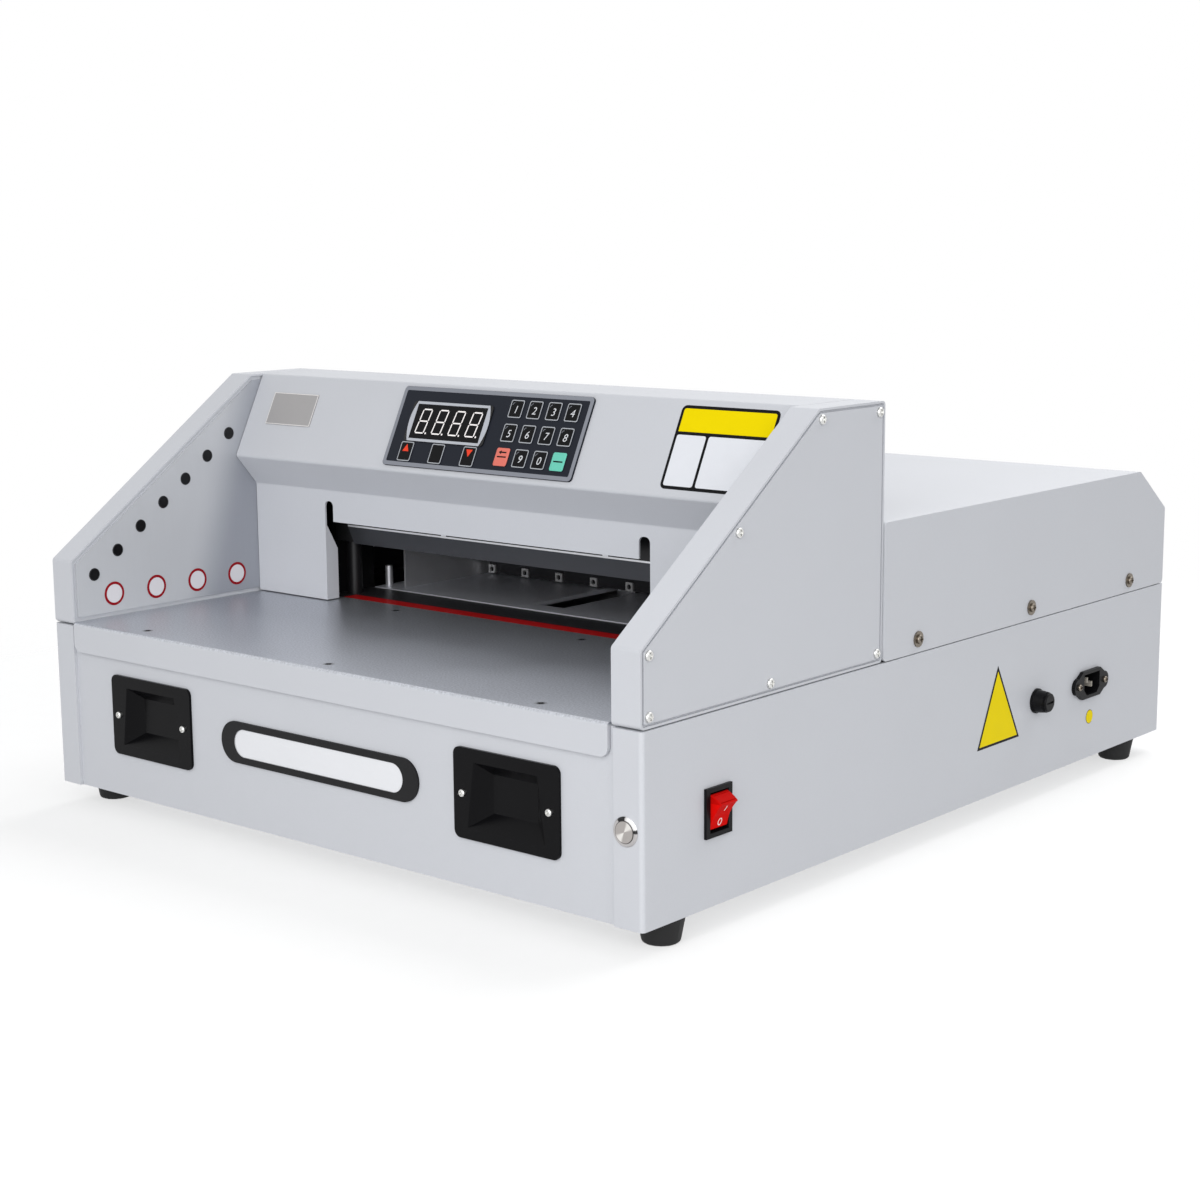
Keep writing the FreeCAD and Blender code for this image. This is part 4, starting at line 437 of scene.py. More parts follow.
ownFinishes = {
    "front_table": finish("tableCoat", tableSettings, tablePaint, tableRelief, tableShine),
    "front_badge": finish("badgePlate", moulded(219, 220, 223, cloud=18.0, dark=0.97, light=1.03,
                                                specular=0.2, rough=0.5), badgePaint),
    "handle_cups": finish("cupPlastic", moulded(6, 6, 8, specular=0.1, rough=0.22)),
    "base_left_panel": finish("leftPanelCoat", casingSettings, leftPanelPaint),
    # Painted shade: the side frames in the throat are near black, for the shade inside the machine
    "side_frames": finish("frameCoatShaded", powder(12, 12, 14, dark=0.8, light=1.2, rough=0.5, specular=0.15)),
    "table_screws": finish("flatHeads", metal(150, 153, 158, metallic=0.4), tableScrewPaint),
    "case_screws": finish("screwPlate", metal(216, 216, 214, cloud=200.0, rough=0.3), twoTone(screwSettings)),
    "back_gauge_fence": finish("fenceCoat", metal(60, 60, 62, metallic=0.7, rough=0.45),
                               twoTone(fenceSettings)),
    "knife": finish("knifeSteel", metal(104, 106, 111, grain=(60.0, 1800.0, 1800.0), rough=0.36,
                                        depth=0.00001, metallic=0.35), knifePaint),
    "clamp_beam": finish("clampSteel", metal(110, 111, 114, rough=0.4)),
    # Painted shade: the guide rods are near black, for the shade inside the machine
    "clamp_guide_rods": finish("rodSteel", moulded(16, 16, 18, rough=0.45, specular=0.3)),
    "cheek_inner_panels": finish("innerSheet", metal(186, 188, 192, grain=(40.0, 500.0, 40.0), cloud=9.0,
                                                     grainShare=0.5, dark=0.96, light=1.04, rough=0.36,
                                                     roughSpread=0.1, metallic=0.12), innerShadePaint),
    "power_inlet": finish("inletPlastic", moulded(15, 15, 17, specular=0.1), inletPaint),
    "side_guides": finish("guideSteel", metal(182, 183, 187, metallic=0.7, rough=0.4)),
    "start_button": finish("turnedCap", metal(158, 153, 150, metallic=0.3, rough=0.4, dark=0.95, light=1.05),
                           capPaint),
    "start_button_housing": finish("polishedRing", metal(222, 221, 221, metallic=0.4, rough=0.3, dark=0.95,
                                                         light=1.05), ringPaint),
}
for name, settings in threadSettings.items():
    ownFinishes[name] = finish(name + "Steel", steelSettings, relief=threadRelief(settings))
for name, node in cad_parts.items():
    slotName = node.data.materials[0].name.split(".")[0]
    node.data.materials[0] = ownFinishes[name] if name in ownFinishes else finishes[slotName]
print("finishes on", len(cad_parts), "nodes")


# Flat prints, thin plates and skins

def skin(mesh, loops, index=0):
    # Walls from each loop of vertices to the next
    for first, second in zip(loops, loops[1:]):
        for now in range(len(first)):
            after = (now + 1) % len(first)
            mesh.faces.new((first[now], first[after], second[after], second[now])).material_index = index


def closedSkin(mesh, loops, index=0):
    skin(mesh, loops, index)
    for end in (loops[0][::-1], loops[-1]):
        mesh.faces.new(end).material_index = index


def ridden(name, mesh, materials, body):
    # The finished object of a built mesh, riding on its body
    data = bpy.data.meshes.new(name)
    bmesh.ops.recalc_face_normals(mesh, faces=mesh.faces)
    mesh.to_mesh(data)
    mesh.free()
    for material in materials:
        data.materials.append(material)
    made = linked(name, data)
    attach(made, body)
    return made


class Sheet:
    def __init__(self, name, origin, along, up):
        self.name = name
        self.origin = origin
        self.along = Vector(along).normalized()
        self.up = Vector(up).normalized()
        self.outward = self.along.cross(self.up)
        self.mesh = bmesh.new()
        self.materials = []
        self.hollow = None

    def loop(self, outline, w):
        # Vertices along an outline, at a height above the surface and less where the surface is hollow
        vertices = []
        for u, v in outline:
            sunk = self.hollow(v) if self.hollow else 0.0
            spot = self.along * u + self.up * v + self.outward * (w - sunk)
            vertices.append(self.mesh.verts.new(self.origin + spot * millimetre))
        return vertices

    def slot(self, material):
        if material not in self.materials:
            self.materials.append(material)
        return self.materials.index(material)

    def plate(self, outline, low, high, material):
        # A flat plate with this outline, anticlockwise, between two heights above the surface
        closedSkin(self.mesh, [self.loop(outline, low), self.loop(outline, high)], self.slot(material))

    def ring(self, outer, inner, low, high, material):
        # A frame between two outlines of as many points
        foot = self.loop(outer, low)
        loops = [foot, self.loop(outer, high), self.loop(inner, high), self.loop(inner, low), foot]
        skin(self.mesh, loops, self.slot(material))

    def dome(self, outline, inset, low, edge, high, material):
        # A raised pad: a short wall, then a slope in to a flat top
        middleU = sum(u for u, v in outline) / len(outline)
        middleV = sum(v for u, v in outline) / len(outline)
        halfU = max(abs(u - middleU) for u, v in outline)
        halfV = max(abs(v - middleV) for u, v in outline)
        shrinkU, shrinkV = 1 - inset / halfU, 1 - inset / halfV
        shrunk = [(middleU + (u - middleU) * shrinkU, middleV + (v - middleV) * shrinkV) for u, v in outline]
        loops = [self.loop(outline, low), self.loop(outline, edge), self.loop(shrunk, high)]
        closedSkin(self.mesh, loops, self.slot(material))

    def twoFilms(self, outer, inner, film, line, fill):
        # A print whose fill lies on a wider patch, which shows as a line around it
        self.plate(outer, 0.0, film, line)
        self.plate(inner, film, 2 * film, fill)

    def roundPrint(self, u, v, diameter, rim, film, line, fill):
        self.twoFilms(disc(u, v, diameter), disc(u, v, diameter - 2 * rim), film, line, fill)

    def finished(self, body, slotName):
        ridden(self.name, self.mesh, self.materials, body)


def arc(centreU, centreV, radius, start, end, steps):
    # Points along an arc, from one angle in degrees to another
    points = []
    for step in range(steps + 1):
        angle = math.radians(start + (end - start) * step / steps)
        points.append((centreU + radius * math.cos(angle), centreV + radius * math.sin(angle)))
    return points


def block(box, corner, inset=0.0, steps=5):
    # The outline of a box (left, right, bottom, top) moved in by the inset, with round corners, anticlockwise
    left, right = box[0] + inset + corner, box[1] - inset - corner
    bottom, top = box[2] + inset + corner, box[3] - inset - corner
    points = []
    quarters = ((right, top, 0), (left, top, 90), (left, bottom, 180), (right, bottom, 270))
    for centreU, centreV, start in quarters:
        points += arc(centreU, centreV, corner, start, start + 90, steps)
    return points


def disc(centreU, centreV, diameter, steps=48, squash=1.0):
    return [(centreU + diameter / 2 * squash * math.cos(2 * math.pi * step / steps),
             centreV + diameter / 2 * math.sin(2 * math.pi * step / steps)) for step in range(steps)]


def moved(outline, u, v):
    return [(u + pointU, v + pointV) for pointU, pointV in outline]


figureSettings = {"height": 5.6, "capShare": 0.7, "thin": -0.03, "slant": 0.16}


def figureFaces(character, settings):
    # The flat faces of one figure about its own middle, as lists of points
    curve = bpy.data.curves.new("figure", "FONT")
    curve.body = character
    curve.size = settings["height"] / settings["capShare"]
    curve.fill_mode = "FRONT"
    curve.offset = settings["thin"]
    holder = linked("figure", curve)
    bpy.context.view_layer.update()
    flat = holder.to_mesh()
    points = [(v.co.x, v.co.y) for v in flat.vertices]
    middleU, middleV = [(min(p[k] for p in points) + max(p[k] for p in points)) / 2 for k in range(2)]
    upright = [(u - middleU, v - middleV) for u, v in points]
    leaning = [(u + v * settings["slant"], v) for u, v in upright]
    faces = [[leaning[index] for index in face.vertices] for face in flat.polygons]
    holder.to_mesh_clear()
    bpy.data.objects.remove(holder)
    bpy.data.curves.remove(curve)
    return faces


def printInk(name, red, green, blue, **changes):
    settings = moulded(red, green, blue, cloud=90.0, dark=0.95, light=1.05, rough=0.42, roughSpread=0.1,
                       depth=0.000003, specular=0.25)
    return finish(name, {**settings, **changes})


greyInk = printInk("greyInk", 128, 131, 139)
frameInk = printInk("frameInk", 176, 179, 186)
keyLineInk = printInk("keyLineInk", 164, 167, 172)
figureInk = printInk("figureInk", 210, 212, 215)
blackInk = printInk("blackInk", 8, 8, 10, specular=0.1)
redInk = printInk("redInk", 226, 60, 30)
coralInk = printInk("coralKey", 214, 112, 98)
tealInk = printInk("tealKey", 102, 193, 172)
yellowInk = printInk("yellowInk", 228, 205, 0, specular=0.05)
crimsonInk = printInk("crimsonInk", 136, 14, 26, specular=0.1)
segmentGlow = printInk("litSegments", 222, 218, 216, glow=0.3)

# The hood's slope: u runs along X and v up the slope from the hood's upper crease
slopeSettings = {"creaseY": 158.0, "creaseZ": 231.3, "leanDepth": 30.3, "leanHeight": 61.7}
slopeOrigin = place(0, slopeSettings["creaseY"], slopeSettings["creaseZ"])
slopeUp = (0, slopeSettings["leanDepth"], slopeSettings["leanHeight"])

panelSettings = {
    "top": 1.6, "film": 0.08, "margin": 0.1,
    "border": (-94.3, 88.2, 3.8, 65.3), "borderWidth": 3.1, "borderCorners": (2.9, 1.2),
    "rows": ("1234", "5678", " 90 "), "digitU": (20.3, 37.7, 55.3, 72.8), "digitV": (52.9, 34.9, 16.9),
    "digitKey": (12.5, 13.5), "functionKey": (13.0, 15.0), "functionU": (-73.8, -42.7, -11.4),
    "functionV": 15.0,
    "keyRise": 0.5, "line": 0.7, "corners": (1.4, 0.9), "padSlope": 0.7, "padFilms": 3,
    "figureShift": (0.5, -0.6), "bar": (-4.2, 4.2, -0.5, 0.5), "barCorner": 0.2,
    "arrow": ((-3.8, 3.4), (-1.2, 2.0), (-1.2, 2.9), (3.6, 2.9), (3.6, 3.9), (-1.2, 3.9), (-1.2, 4.8)),
    "pointer": ((-3.1, -2.6), (3.1, -2.6), (0.0, 2.9)), "pointerLift": 2.6, "pointers": (1, 0, -1),
    "glintInset": 4.0, "glintRadii": (2.0, 1.6), "glintArc": (95, 180), "glintSteps": 8,
}


def keyFace(sheet, u, v, size, settings, fill, line):
    # One key: a drawn line round a raised pad. Gives the height of the pad's top
    width, height = size
    film = settings["film"]
    low = settings["top"] + settings["keyRise"]
    box = (u - width / 2, u + width / 2, v - height / 2, v + height / 2)
    outerCorner, innerCorner = settings["corners"]
    inner = block(box, innerCorner, settings["margin"] + settings["line"])
    high = low + settings["padFilms"] * film
    sheet.ring(block(box, outerCorner, settings["margin"]), inner, low, low + film, line)
    sheet.dome(inner, settings["padSlope"], low, low + film, high, fill)
    return high


def glint(sheet, u, v, size, settings, level):
    # The small bright arc at the upper left corner of a key
    width, height = size
    centreU = u - width / 2 + settings["glintInset"]
    centreV = v + height / 2 - settings["glintInset"]
    start, end = settings["glintArc"]
    outer, inner = [arc(centreU, centreV, radius, start, end, settings["glintSteps"])
                    for radius in settings["glintRadii"]]
    sheet.plate(outer + inner[::-1], level, level + settings["film"] / 2, greyInk)


def keypadPrint(settings):
    sheet = Sheet("keypad_print", slopeOrigin, (1, 0, 0), slopeUp)
    film = settings["film"]
    surface = settings["top"]
    outerCorner, innerCorner = settings["borderCorners"]
    outer = block(settings["border"], outerCorner, settings["margin"])
    inner = block(settings["border"], innerCorner, settings["borderWidth"])
    sheet.ring(outer, inner, surface, surface + film, greyInk)
    size = settings["digitKey"]
    for v, figures in zip(settings["digitV"], settings["rows"]):
        for column, figure in enumerate(figures):
            u = settings["digitU"][column]
            if figure == " ":
                fill = coralInk if column == 0 else tealInk
                level = keyFace(sheet, u, v, size, settings, fill, fill)
                bar = block(settings["bar"], settings["barCorner"])
                sheet.plate(moved(bar, u, v), level, level + film, blackInk)
                if column == 0:
                    sheet.plate(moved(settings["arrow"], u, v), level, level + film, blackInk)
                continue
            level = keyFace(sheet, u, v, size, settings, blackInk, keyLineInk)
            glint(sheet, u, v, size, settings, level)
            shiftU, shiftV = settings["figureShift"]
            for face in figureFaces(figure, figureSettings):
                sheet.plate(moved(face, u + shiftU, v + shiftV), level, level + film, figureInk)
    v = settings["functionV"]
    for point, u in zip(settings["pointers"], settings["functionU"]):
        level = keyFace(sheet, u, v, settings["functionKey"], settings, blackInk, keyLineInk)
        if point:
            corners = [(pointU, pointV * point) for pointU, pointV in settings["pointer"]]
            corners = moved(corners[::point], u, v + settings["pointerLift"])
            sheet.plate(corners, level, level + film, redInk)
    sheet.finished("machine_frame", "panel_film")


def bulgingFrame(box, bulge, steps=12):
    # A box whose short sides bow outward, anticlockwise from the right bottom corner
    left, right, bottom, top = box
    points = []
    for edge, start, end, inward in ((right, bottom, top, -bulge), (left, top, bottom, bulge)):
        for step in range(steps + 1):
            share = 2 * step / steps - 1
            points.append((edge + inward * share ** 2, (start + end) / 2 + (end - start) / 2 * share))
    return points


displaySettings = {
    "frame": (-79.4, -0.9, 23.2, 53.8), "bulge": 3.6, "window": (-74.9, -5.6, 25.2, 51.8),
    "top": 2.4, "film": 0.1, "digits": (-64.7, -48.1, -31.5, -14.9), "digitV": 38.7,
    "height": 18.2, "width": 8.6, "stroke": 1.0, "gap": 0.25, "slant": 0.14,
    "dot": 1.5, "dotGap": 2.2, "dotSteps": 16,
}


def displayPrint(settings):
    sheet = Sheet("display_print", slopeOrigin, (1, 0, 0), slopeUp)
    low = settings["top"]
    film = settings["film"]
    inner = bulgingFrame(settings["window"], 0.0)
    sheet.ring(bulgingFrame(settings["frame"], settings["bulge"]), inner, low, low + film, frameInk)
    sheet.plate(inner, low, low + film / 2, blackInk)
    half = settings["width"] / 2
    rise = settings["height"] / 2
    stroke = settings["stroke"] / 2
    gap = settings["gap"]
    bars = [(-half + gap, v, half - gap, v) for v in (-rise, 0, rise)]
    for u in (-half, half):
        bars += [(u, -rise + gap, u, -gap), (u, gap, u, rise - gap)]
    for centre in settings["digits"]:
        for u0, v0, u1, v1 in bars:
            length = math.hypot(u1 - u0, v1 - v0)
            du, dv = (u1 - u0) / length, (v1 - v0) / length
            corners = []
            for along, side in ((0, 0), (stroke, -stroke), (length - stroke, -stroke),
                                (length, 0), (length - stroke, stroke), (stroke, stroke)):
                u = u0 + du * along - dv * side
                v = v0 + dv * along + du * side
                corners.append((centre + u + v * settings["slant"], settings["digitV"] + v))
            sheet.plate(corners, low + film / 2, low + film, segmentGlow)
        dot = disc(centre + half + settings["dotGap"] - rise * settings["slant"], settings["digitV"] - rise,
                   settings["dot"], settings["dotSteps"])
        sheet.plate(dot, low + film / 2, low + film, segmentGlow)
    sheet.finished("machine_frame", "window")


namePlateSettings = {"outline": (-234.5, -184.7, 27.8, 53.8), "corner": 0.6, "thickness": 0.8,
                     "rim": (0.1, 0.7), "rimCorners": (0.5, 0.4), "rimRise": 0.12}


def namePlate(settings):
    sheet = Sheet("name_plate", slopeOrigin, (1, 0, 0), slopeUp)
    outline = settings["outline"]
    thick = settings["thickness"]
    brushed = finish("greyPlate", metal(160, 158, 158, grain=(120.0, 2600.0, 2600.0), dark=0.94, light=1.06,
                                        rough=0.45, metallic=0.3))
    bright = finish("plateRim", metal(224, 222, 220, rough=0.4, metallic=0.3))
    sheet.plate(block(outline, settings["corner"]), 0.0, thick, brushed)
    outer, inner = [block(outline, corner, inset)
                    for corner, inset in zip(settings["rimCorners"], settings["rim"])]
    sheet.ring(outer, inner, thick, thick + settings["rimRise"], bright)
    sheet.finished("machine_frame", "steel")


labelSettings = {"outline": (163.4, 243.0, 5.7, 64.3), "headerBottom": 45.8, "divider": 190.8,
                 "line": 2.3, "corner": 4.0, "fieldCorner": 1.6, "film": 0.12}


def colourLabel(settings):
    # A black ground with a yellow header and two pale fields below it
    sheet = Sheet("panel_label", slopeOrigin, (1, 0, 0), slopeUp)
    left, right, bottom, top = settings["outline"]
    line = settings["line"]
    film = settings["film"]
    header = settings["headerBottom"]
    divider = settings["divider"]
    corner = settings["corner"] - line
    paper = printInk("labelPaper", 216, 218, 223)
    rounded = block((left + line, right - line, header, top - line), corner)
    yellow = [(u, v) for u, v in rounded if v > header + corner]
    yellow += [(left + line, header), (right - line, header)]
    sheet.twoFilms(block(settings["outline"], settings["corner"]), yellow, film, blackInk, yellowInk)
    for low, high in ((left + line, divider - line / 2), (divider + line / 2, right - line)):
        field = block((low, high, bottom + line, header - line), settings["fieldCorner"])
        sheet.plate(field, film, 2 * film, paper)
    sheet.finished("machine_frame", "panel_film")


keypadPrint(panelSettings)
displayPrint(displaySettings)
namePlate(namePlateSettings)
colourLabel(labelSettings)
print("control panel printed")

# Plain round stickers inside the left cheek, and the plain marks of the right side
roundSettings = {"faceX": -257.0, "z": 139.0, "y": (37.4, 76.4, 115.6, 154.9), "diameter": 17.8,
                 "rim": 2.0, "film": 0.12}


def roundStickers(settings):
    sheet = Sheet("round_stickers", place(settings["faceX"], 0, 0), (0, 1, 0), (0, 0, 1))
    film = settings["film"]
    paper = printInk("stickerPaper", 206, 204, 208)
    for y in settings["y"]:
        sheet.roundPrint(y, settings["z"], settings["diameter"], settings["rim"], film, crimsonInk, paper)
    sheet.finished("machine_frame", "panel_film")


sideMarkSettings = {"faceX": 280.0, "corners": ((373.5, 36.5), (432.0, 36.5), (400.0, 94.0)), "line": 1.9,
                    "dot": (539.5, 31.8), "dotDiameter": 10.8, "dotLine": 0.35, "film": 0.12}


def insetTriangle(corners, distance):
    inner = []
    for index, corner in enumerate(corners):
        here = Vector(corner)
        before = (Vector(corners[index - 1]) - here).normalized()
        after = (Vector(corners[(index + 1) % len(corners)]) - here).normalized()
        half = before.angle(after) / 2
        inner.append(tuple(here + (before + after).normalized() * (distance / math.sin(half))))
    return inner


def sideMarks(settings):
    sheet = Sheet("side_marks", place(settings["faceX"], 0, 0), (0, 1, 0), (0, 0, 1))
    film = settings["film"]
    corners = settings["corners"]
    sheet.twoFilms(corners, insetTriangle(corners, settings["line"]), film, blackInk, yellowInk)
    dotY, dotZ = settings["dot"]
    sheet.roundPrint(dotY, dotZ, settings["dotDiameter"], settings["dotLine"], film, blackInk, yellowInk)
    sheet.finished("machine_frame", "panel_film")


roundStickers(roundSettings)
sideMarks(sideMarkSettings)
print("stickers on")

# Rows of like pieces, repeated by a node tree

def rowTree(name, sizes, unit):
    # Count copies of one unit of the given sizes, each a step further on, made real with one finish
    tree = bpy.data.node_groups.new(name, "GeometryNodeTree")
    kinds = {"Count": "NodeSocketInt", "First": "NodeSocketVector", "Step": "NodeSocketVector",
             "Finish": "NodeSocketMaterial"}
    for size in sizes:
        kinds[size] = "NodeSocketFloat"
    for label, kind in kinds.items():
        tree.interface.new_socket(label, in_out="INPUT", socket_type=kind)
    tree.interface.new_socket("Row", in_out="OUTPUT", socket_type="NodeSocketGeometry")
    bench = Bench(tree)
    given = {label: bench.node("NodeGroupInput", {}, {}, label) for label in kinds}
    line = bench.node("GeometryNodeMeshLine", {"mode": "OFFSET"},
                      {"Count": given["Count"], "Start Location": given["First"], "Offset": given["Step"]})
    placed = bench.node("GeometryNodeInstanceOnPoints", {}, {"Points": line, "Instance": unit(bench, given)})
    real = bench.node("GeometryNodeRealizeInstances", {}, {"Geometry": placed})
    finished = bench.node("GeometryNodeSetMaterial", {}, {"Geometry": real, "Material": given["Finish"]})
    bench.node("NodeGroupOutput", {}, {"Row": finished})
    return tree


def grown(tree, values):
    # The plain mesh that a tree makes with these inputs
    holder = linked("seed", bpy.data.meshes.new("seed"))
    modifier = holder.modifiers.new("row", "NODES")
    modifier.node_group = tree
    for item in tree.interface.items_tree:
        if item.in_out == "INPUT":
            modifier[item.identifier] = values[item.name]
    bpy.context.view_layer.update()
    mesh = bpy.data.meshes.new_from_object(holder.evaluated_get(bpy.context.evaluated_depsgraph_get()))
    holder.modifiers.remove(modifier)
    bpy.data.objects.remove(holder)
    return mesh


def joinedRows(name, meshes, body):
    # One object of several grown meshes with the same finish
    gathered = bmesh.new()
    for mesh in meshes:
        gathered.from_mesh(mesh)
    for face in gathered.faces:
        face.material_index = 0
    given = [material for material in meshes[0].materials if material]
    ridden(name, gathered, given[:1], body)


lensRimSettings = {"count": 7, "first": (20.3, 155.4), "step": (21.93, 15.62), "faces": (-257.0, 257.0),
                   "radius": 4.35, "wire": 0.42, "corners": 40, "wireCorners": 10}


def lensRim(bench, given):
    circle, wire = [bench.node("GeometryNodeCurvePrimitiveCircle", {},
                               {"Resolution": lensRimSettings[corners], "Radius": given[radius]})
                    for corners, radius in (("corners", "Radius"), ("wireCorners", "Wire"))]
    tube = bench.node("GeometryNodeCurveToMesh", {}, {"Curve": circle, "Profile Curve": wire})
    return bench.node("GeometryNodeTransform", {}, {"Geometry": tube, "Rotation": (0, math.pi / 2, 0)})


def lensRims(settings):
    tree = rowTree("lensRimRow", ("Radius", "Wire"), lensRim)
    values = {"Count": settings["count"], "Step": Vector((0, *settings["step"])) * millimetre,
              "Finish": printInk("rimRubber", 40, 40, 43, rough=0.5),
              "Radius": settings["radius"] * millimetre, "Wire": settings["wire"] * millimetre}
    rows = [grown(tree, {**values, "First": place(face, *settings["first"])}) for face in settings["faces"]]
    joinedRows("lens_rims", rows, "machine_frame")


lensRims(lensRimSettings)
print("lens rims on")

# The power rocker, with its hollow face, ribbed upper end and two marks
rockerSettings = {
    "y": 70.6, "width": 17.0, "pivot": (278.0, 59.2), "bore": 1.9, "back": 3.2, "slit": 2.4,
    "low": (281.2, 48.9), "peak": (289.7, 65.4), "top": (281.5, 70.6), "shoulder": (278.0, 67.5),
    "foot": (277.0, 50.6), "hollow": 1.4, "swell": 0.5, "faceSteps": 14, "slopeSteps": 8, "boreSteps": 10,
    "chamfer": 0.6, "chamferIn": 0.48, "chamferFrom": 279.0,
    "ribs": 7, "ribRadius": 0.42, "ribPitch": 1.28, "ribStart": 1.5, "ribShort": 2.4,
}
# Painted shade: the ribbed slope over the peak is darker than the face
rockerSlopeShade = {"axis": 2, "edge": rockerSettings["peak"][1], "soft": 0.4, "near": ink(207, 12, 8),
               "far": ink(180, 9, 6)}


def bowed(start, end, sag, steps):
    # Points from start towards end along an arc that bulges to the left of the way by sag
    (x0, z0), (x1, z1) = start, end
    length = math.hypot(x1 - x0, z1 - z0)
    normal = (-(z1 - z0) / length, (x1 - x0) / length)
    return [(x0 + (x1 - x0) * share + normal[0] * sag * 4 * share * (1 - share),
             z0 + (z1 - z0) * share + normal[1] * sag * 4 * share * (1 - share))
            for share in [step / steps for step in range(steps)]]


def rockerOutline(settings):
    pivotX, pivotZ = settings["pivot"]
    back = pivotX - settings["back"]
    bore, slit = settings["bore"], settings["slit"]
    points = bowed(settings["low"], settings["peak"], settings["hollow"], settings["faceSteps"])
    points += bowed(settings["peak"], settings["top"], -settings["swell"], settings["slopeSteps"])
    points += [settings["top"], settings["shoulder"], (back, pivotZ + slit), (back, pivotZ + bore)]
    points += arc(pivotX, pivotZ, bore, 90, -90, settings["boreSteps"])
    return points + [(back, pivotZ - bore), (back, pivotZ - slit), settings["foot"]]


def rocker(settings):
    red = finish("rockerRed", moulded(207, 12, 8, grain=(3000.0, 3000.0, 3000.0), cloud=120.0, dark=0.92,
                                      light=1.06, rough=0.5, specular=0.02), twoTone(rockerSlopeShade))
    outline = rockerOutline(settings)
    centreX = sum(x for x, z in outline) / len(outline)
    centreZ = sum(z for x, z in outline) / len(outline)
    half = settings["width"] / 2
    chamfer = settings["chamfer"]
    mesh = bmesh.new()
    loops = []
    for side, inset in ((-half, settings["chamferIn"]), (-half + chamfer, 0), (half - chamfer, 0),
                        (half, settings["chamferIn"])):
        loop = []
        for x, z in outline:
            reach = math.hypot(x - centreX, z - centreZ)
            share = 1 - inset / reach if x > settings["chamferFrom"] else 1
            loop.append(mesh.verts.new(place(centreX + (x - centreX) * share, settings["y"] + side,
                                             centreZ + (z - centreZ) * share)))
        loops.append(loop)
    closedSkin(mesh, loops)
    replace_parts(ridden("rocker_paddle", mesh, [red], "power_rocker_body"), "power_rocker")


def ribBar(bench, given):
    bar = bench.node("GeometryNodeMeshCylinder", {}, {"Vertices": 10, "Radius": given["Radius"],
                                                      "Depth": given["Length"]}, "Mesh")
    return bench.node("GeometryNodeTransform", {}, {"Geometry": bar, "Rotation": (math.pi / 2, 0, 0)})


def rockerRibs(settings):
    # The upper slope's grip ribs stand on a line from the peak towards the top
    start = Vector((settings["peak"][0], 0, settings["peak"][1]))
    way = (Vector((settings["top"][0], 0, settings["top"][1])) - start).normalized()
    first = start + way * settings["ribStart"]
    values = {"Count": settings["ribs"], "First": place(first.x, settings["y"], first.z),
              "Step": way * settings["ribPitch"] * millimetre, "Radius": settings["ribRadius"] * millimetre,
              "Length": (settings["width"] - settings["ribShort"]) * millimetre,
              # The ribs take a darker red than the rocker: painted shade on the grip ribs
              "Finish": finish("ribRedShaded", moulded(150, 9, 6, cloud=120.0, rough=0.7, specular=0.0))}
    mesh = grown(rowTree("ribRow", ("Radius", "Length"), ribBar), values)
    joinedRows("rocker_ribs", [mesh], "power_rocker_body")


def hollowBelow(depth, length, share):
    # How far the hollow face lies below its chord, at a place v along from this share of its length
    def below(v):
        here = share + v / length
        return depth * 4 * here * (1 - here)
    return below


markSettings = {"thickness": 0.14, "onShare": 0.74, "line": (-0.3, 0.3, -2.2, 2.2), "lineCorner": 0.15,
                "offShare": 0.2, "rings": ((5.0, 0.78), (3.8, 0.74)), "ringSteps": 32}


def rockerMarks(settings, marks):
    # The usual line for on and ring for off
    lowX, lowZ = settings["low"]
    peakX, peakZ = settings["peak"]
    along = Vector((peakX - lowX, 0, peakZ - lowZ))
    white = printInk("rockerWhite", 236, 220, 218)
    thick = marks["thickness"]
    for name, share in (("rocker_on_mark", marks["onShare"]), ("rocker_off_mark", marks["offShare"])):
        spot = Vector((lowX, 0, lowZ)) + along * share
        sheet = Sheet(name, place(spot.x, settings["y"], spot.z), (0, 1, 0), along)
        sheet.hollow = hollowBelow(settings["hollow"], along.length, share)
        if name == "rocker_on_mark":
            sheet.plate(block(marks["line"], marks["lineCorner"]), 0.0, thick, white)
        else:
            outer, inner = [disc(0, 0, diameter, marks["ringSteps"], squash)
                            for diameter, squash in marks["rings"]]
            sheet.ring(outer, inner, 0.0, thick, white)
        sheet.finished("power_rocker_body", "red_plastic")


rocker(rockerSettings)
rockerRibs(rockerSettings)
rockerMarks(rockerSettings, markSettings)
print("rocker built")

# Floor and lamps, in metres
floorSettings = {"half": 4.0, "clear": 0.55, "gone": 1.15, "thin": 0.6, "colour": ink(250, 250, 250),
                 "grain": 40.0, "tone": 0.99, "toneSpread": 0.02, "rough": 0.85, "roughSpread": 0.05}


def floorFinish(settings):
    # A pale floor that fades out into the white background
    material, bench = materialBench("studioFloor")
    spot = bench.objectPlace()
    grain = bench.noise(spot, settings["grain"])
    x, y, z = bench.split(spot)
    colour = bench.toned(bench.plain(settings["colour"]), settings["tone"] + grain * settings["toneSpread"])
    pale = bench.node("ShaderNodeBsdfPrincipled", {}, {
        "Base Color": colour, "Roughness": settings["rough"] + grain * settings["roughSpread"]})
    clear = bench.node("ShaderNodeBsdfTransparent", {}, {})
    gone = apart(x, y).above((settings["clear"] + settings["gone"]) / 2, settings["gone"] - settings["clear"])
    fade = settings["thin"] + gone * (1 - settings["thin"])
    bench.covers(bench.node("ShaderNodeMixShader", {}, {0: fade, 1: pale, 2: clear}))
    return material


floorMesh = bpy.data.meshes.new("floor")
half = floorSettings["half"]
corners = [(-half, -half, 0), (half, -half, 0), (half, half, 0), (-half, half, 0)]
floorMesh.from_pydata(corners, [], [(0, 1, 2, 3)])
floorMesh.materials.append(floorFinish(floorSettings))
linked("floor", floorMesh)

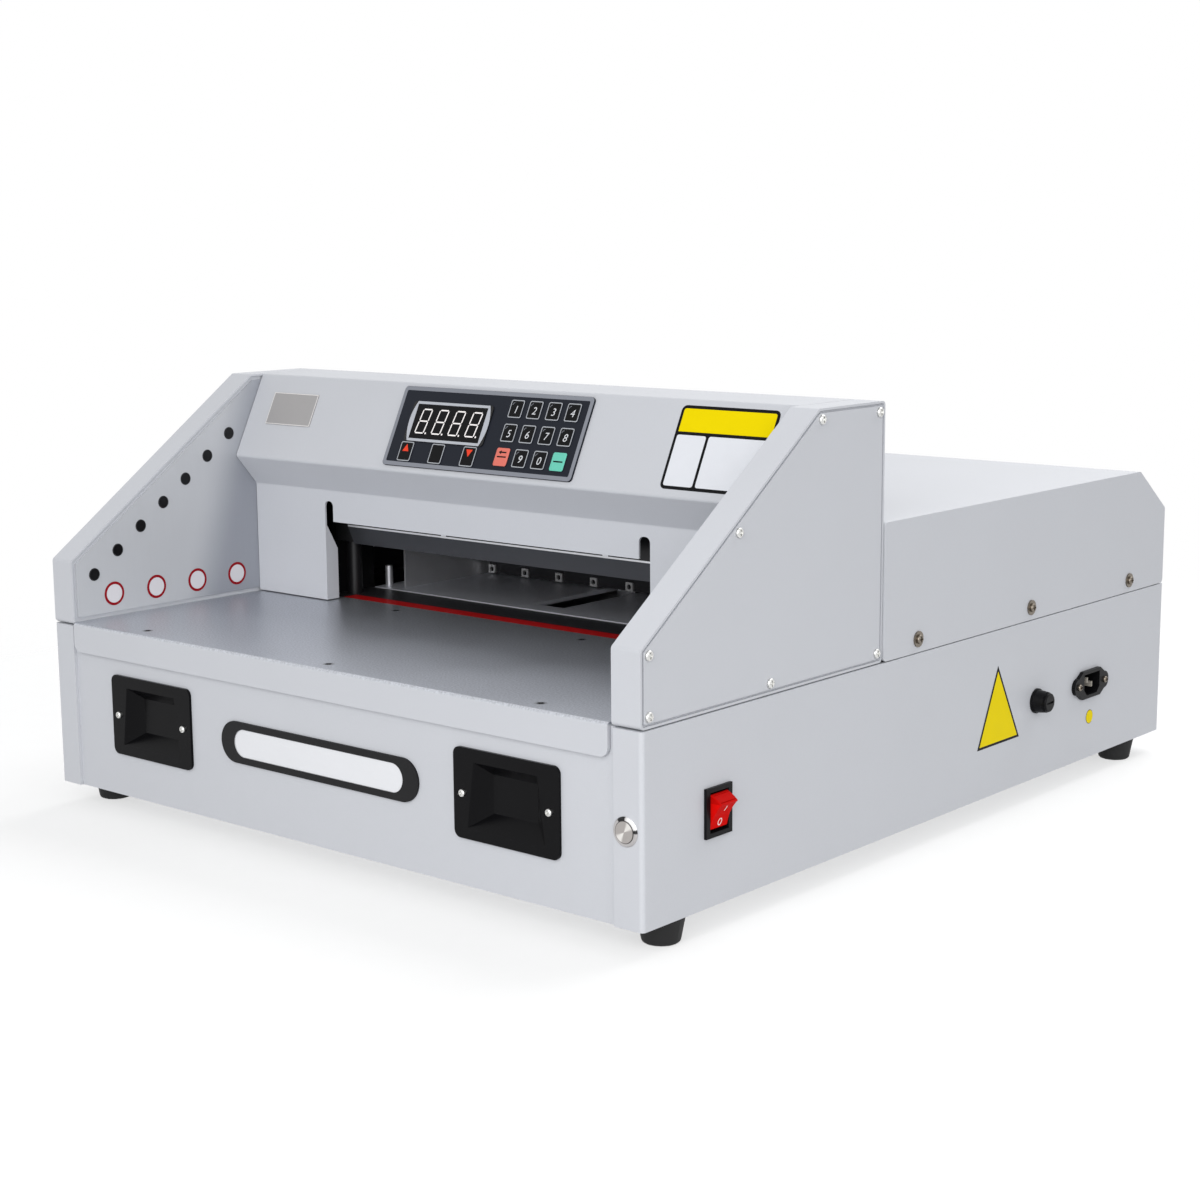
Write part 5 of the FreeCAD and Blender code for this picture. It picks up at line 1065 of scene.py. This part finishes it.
lightSettings = {
    "keyLight": {"spot": (0.9, -1.9, 0.85), "size": 1.8, "power": 33.5},
    "sideLight": {"spot": (2.8, -0.6, 1.4), "size": 2.0, "power": 19.0},
    "topLight": {"spot": (0.1, 2.0, 2.6), "size": 2.4, "power": 74.0},
}
lightTarget = Vector((0, 0, 0.15))
for name, settings in lightSettings.items():
    light = bpy.data.lights.new(name, "AREA")
    light.size = settings["size"]
    light.energy = settings["power"]
    lamp = linked(name, light)
    lamp.location = settings["spot"]
    lamp.rotation_mode = "QUATERNION"
    lamp.rotation_quaternion = (lightTarget - lamp.location).to_track_quat("-Z", "Y")

skySettings = {"ambient": (0.97, 0.98, 1.0, 1.0), "ambientStrength": 0.47, "background": (1.0, 1.0, 1.0, 1.0)}
world = bpy.data.worlds.new("studio")
world.use_nodes = True
scene.world = world
sky = Bench(world.node_tree)
# The camera, mirrors and glass see a white background, and everything else the softer ambient light
seen = sky.node("ShaderNodeLightPath", {}, {}, "Is Camera Ray")
for label in ("Is Glossy Ray", "Is Transmission Ray"):
    seen = sky.maths("MAXIMUM", seen, sky.node("ShaderNodeLightPath", {}, {}, label))
ambient = sky.node("ShaderNodeBackground", {}, {"Color": skySettings["ambient"],
                                                "Strength": skySettings["ambientStrength"]})
background = sky.node("ShaderNodeBackground", {}, {"Color": skySettings["background"], "Strength": 1.0})
sky.node("ShaderNodeOutputWorld", {}, {
    "Surface": sky.node("ShaderNodeMixShader", {}, {0: seen, 1: ambient, 2: background})})

# The photograph's camera, its place in the machine's millimetres
cameraSettings = {"azimuth": 40.52, "elevation": 9.964, "roll": -0.448, "lens": 64.67, "sensor": 36.0,
                  "clip": (0.05, 50.0), "place": (1042.024, -927.693, 408.27)}
azimuth, elevation, roll = [math.radians(cameraSettings[key]) for key in ("azimuth", "elevation", "roll")]
backward = Vector((math.sin(azimuth) * math.cos(elevation), -math.cos(azimuth) * math.cos(elevation),
                   math.sin(elevation)))
level = (-backward).cross(Vector((0, 0, 1))).normalized()
upright = level.cross(-backward)
cameraRight = math.cos(roll) * level + math.sin(roll) * upright
cameraUp = math.cos(roll) * upright - math.sin(roll) * level
lens = bpy.data.cameras.new("photoCamera")
lens.lens = cameraSettings["lens"]
lens.sensor_width = cameraSettings["sensor"]
lens.clip_start, lens.clip_end = cameraSettings["clip"]
camera = linked("photoCamera", lens)
turned = Matrix((cameraRight, cameraUp, backward)).transposed().to_4x4()
turned.translation = place(*cameraSettings["place"])
camera.matrix_world = turned
scene.camera = camera
scene.view_settings.view_transform = "Standard"
print("stage set")
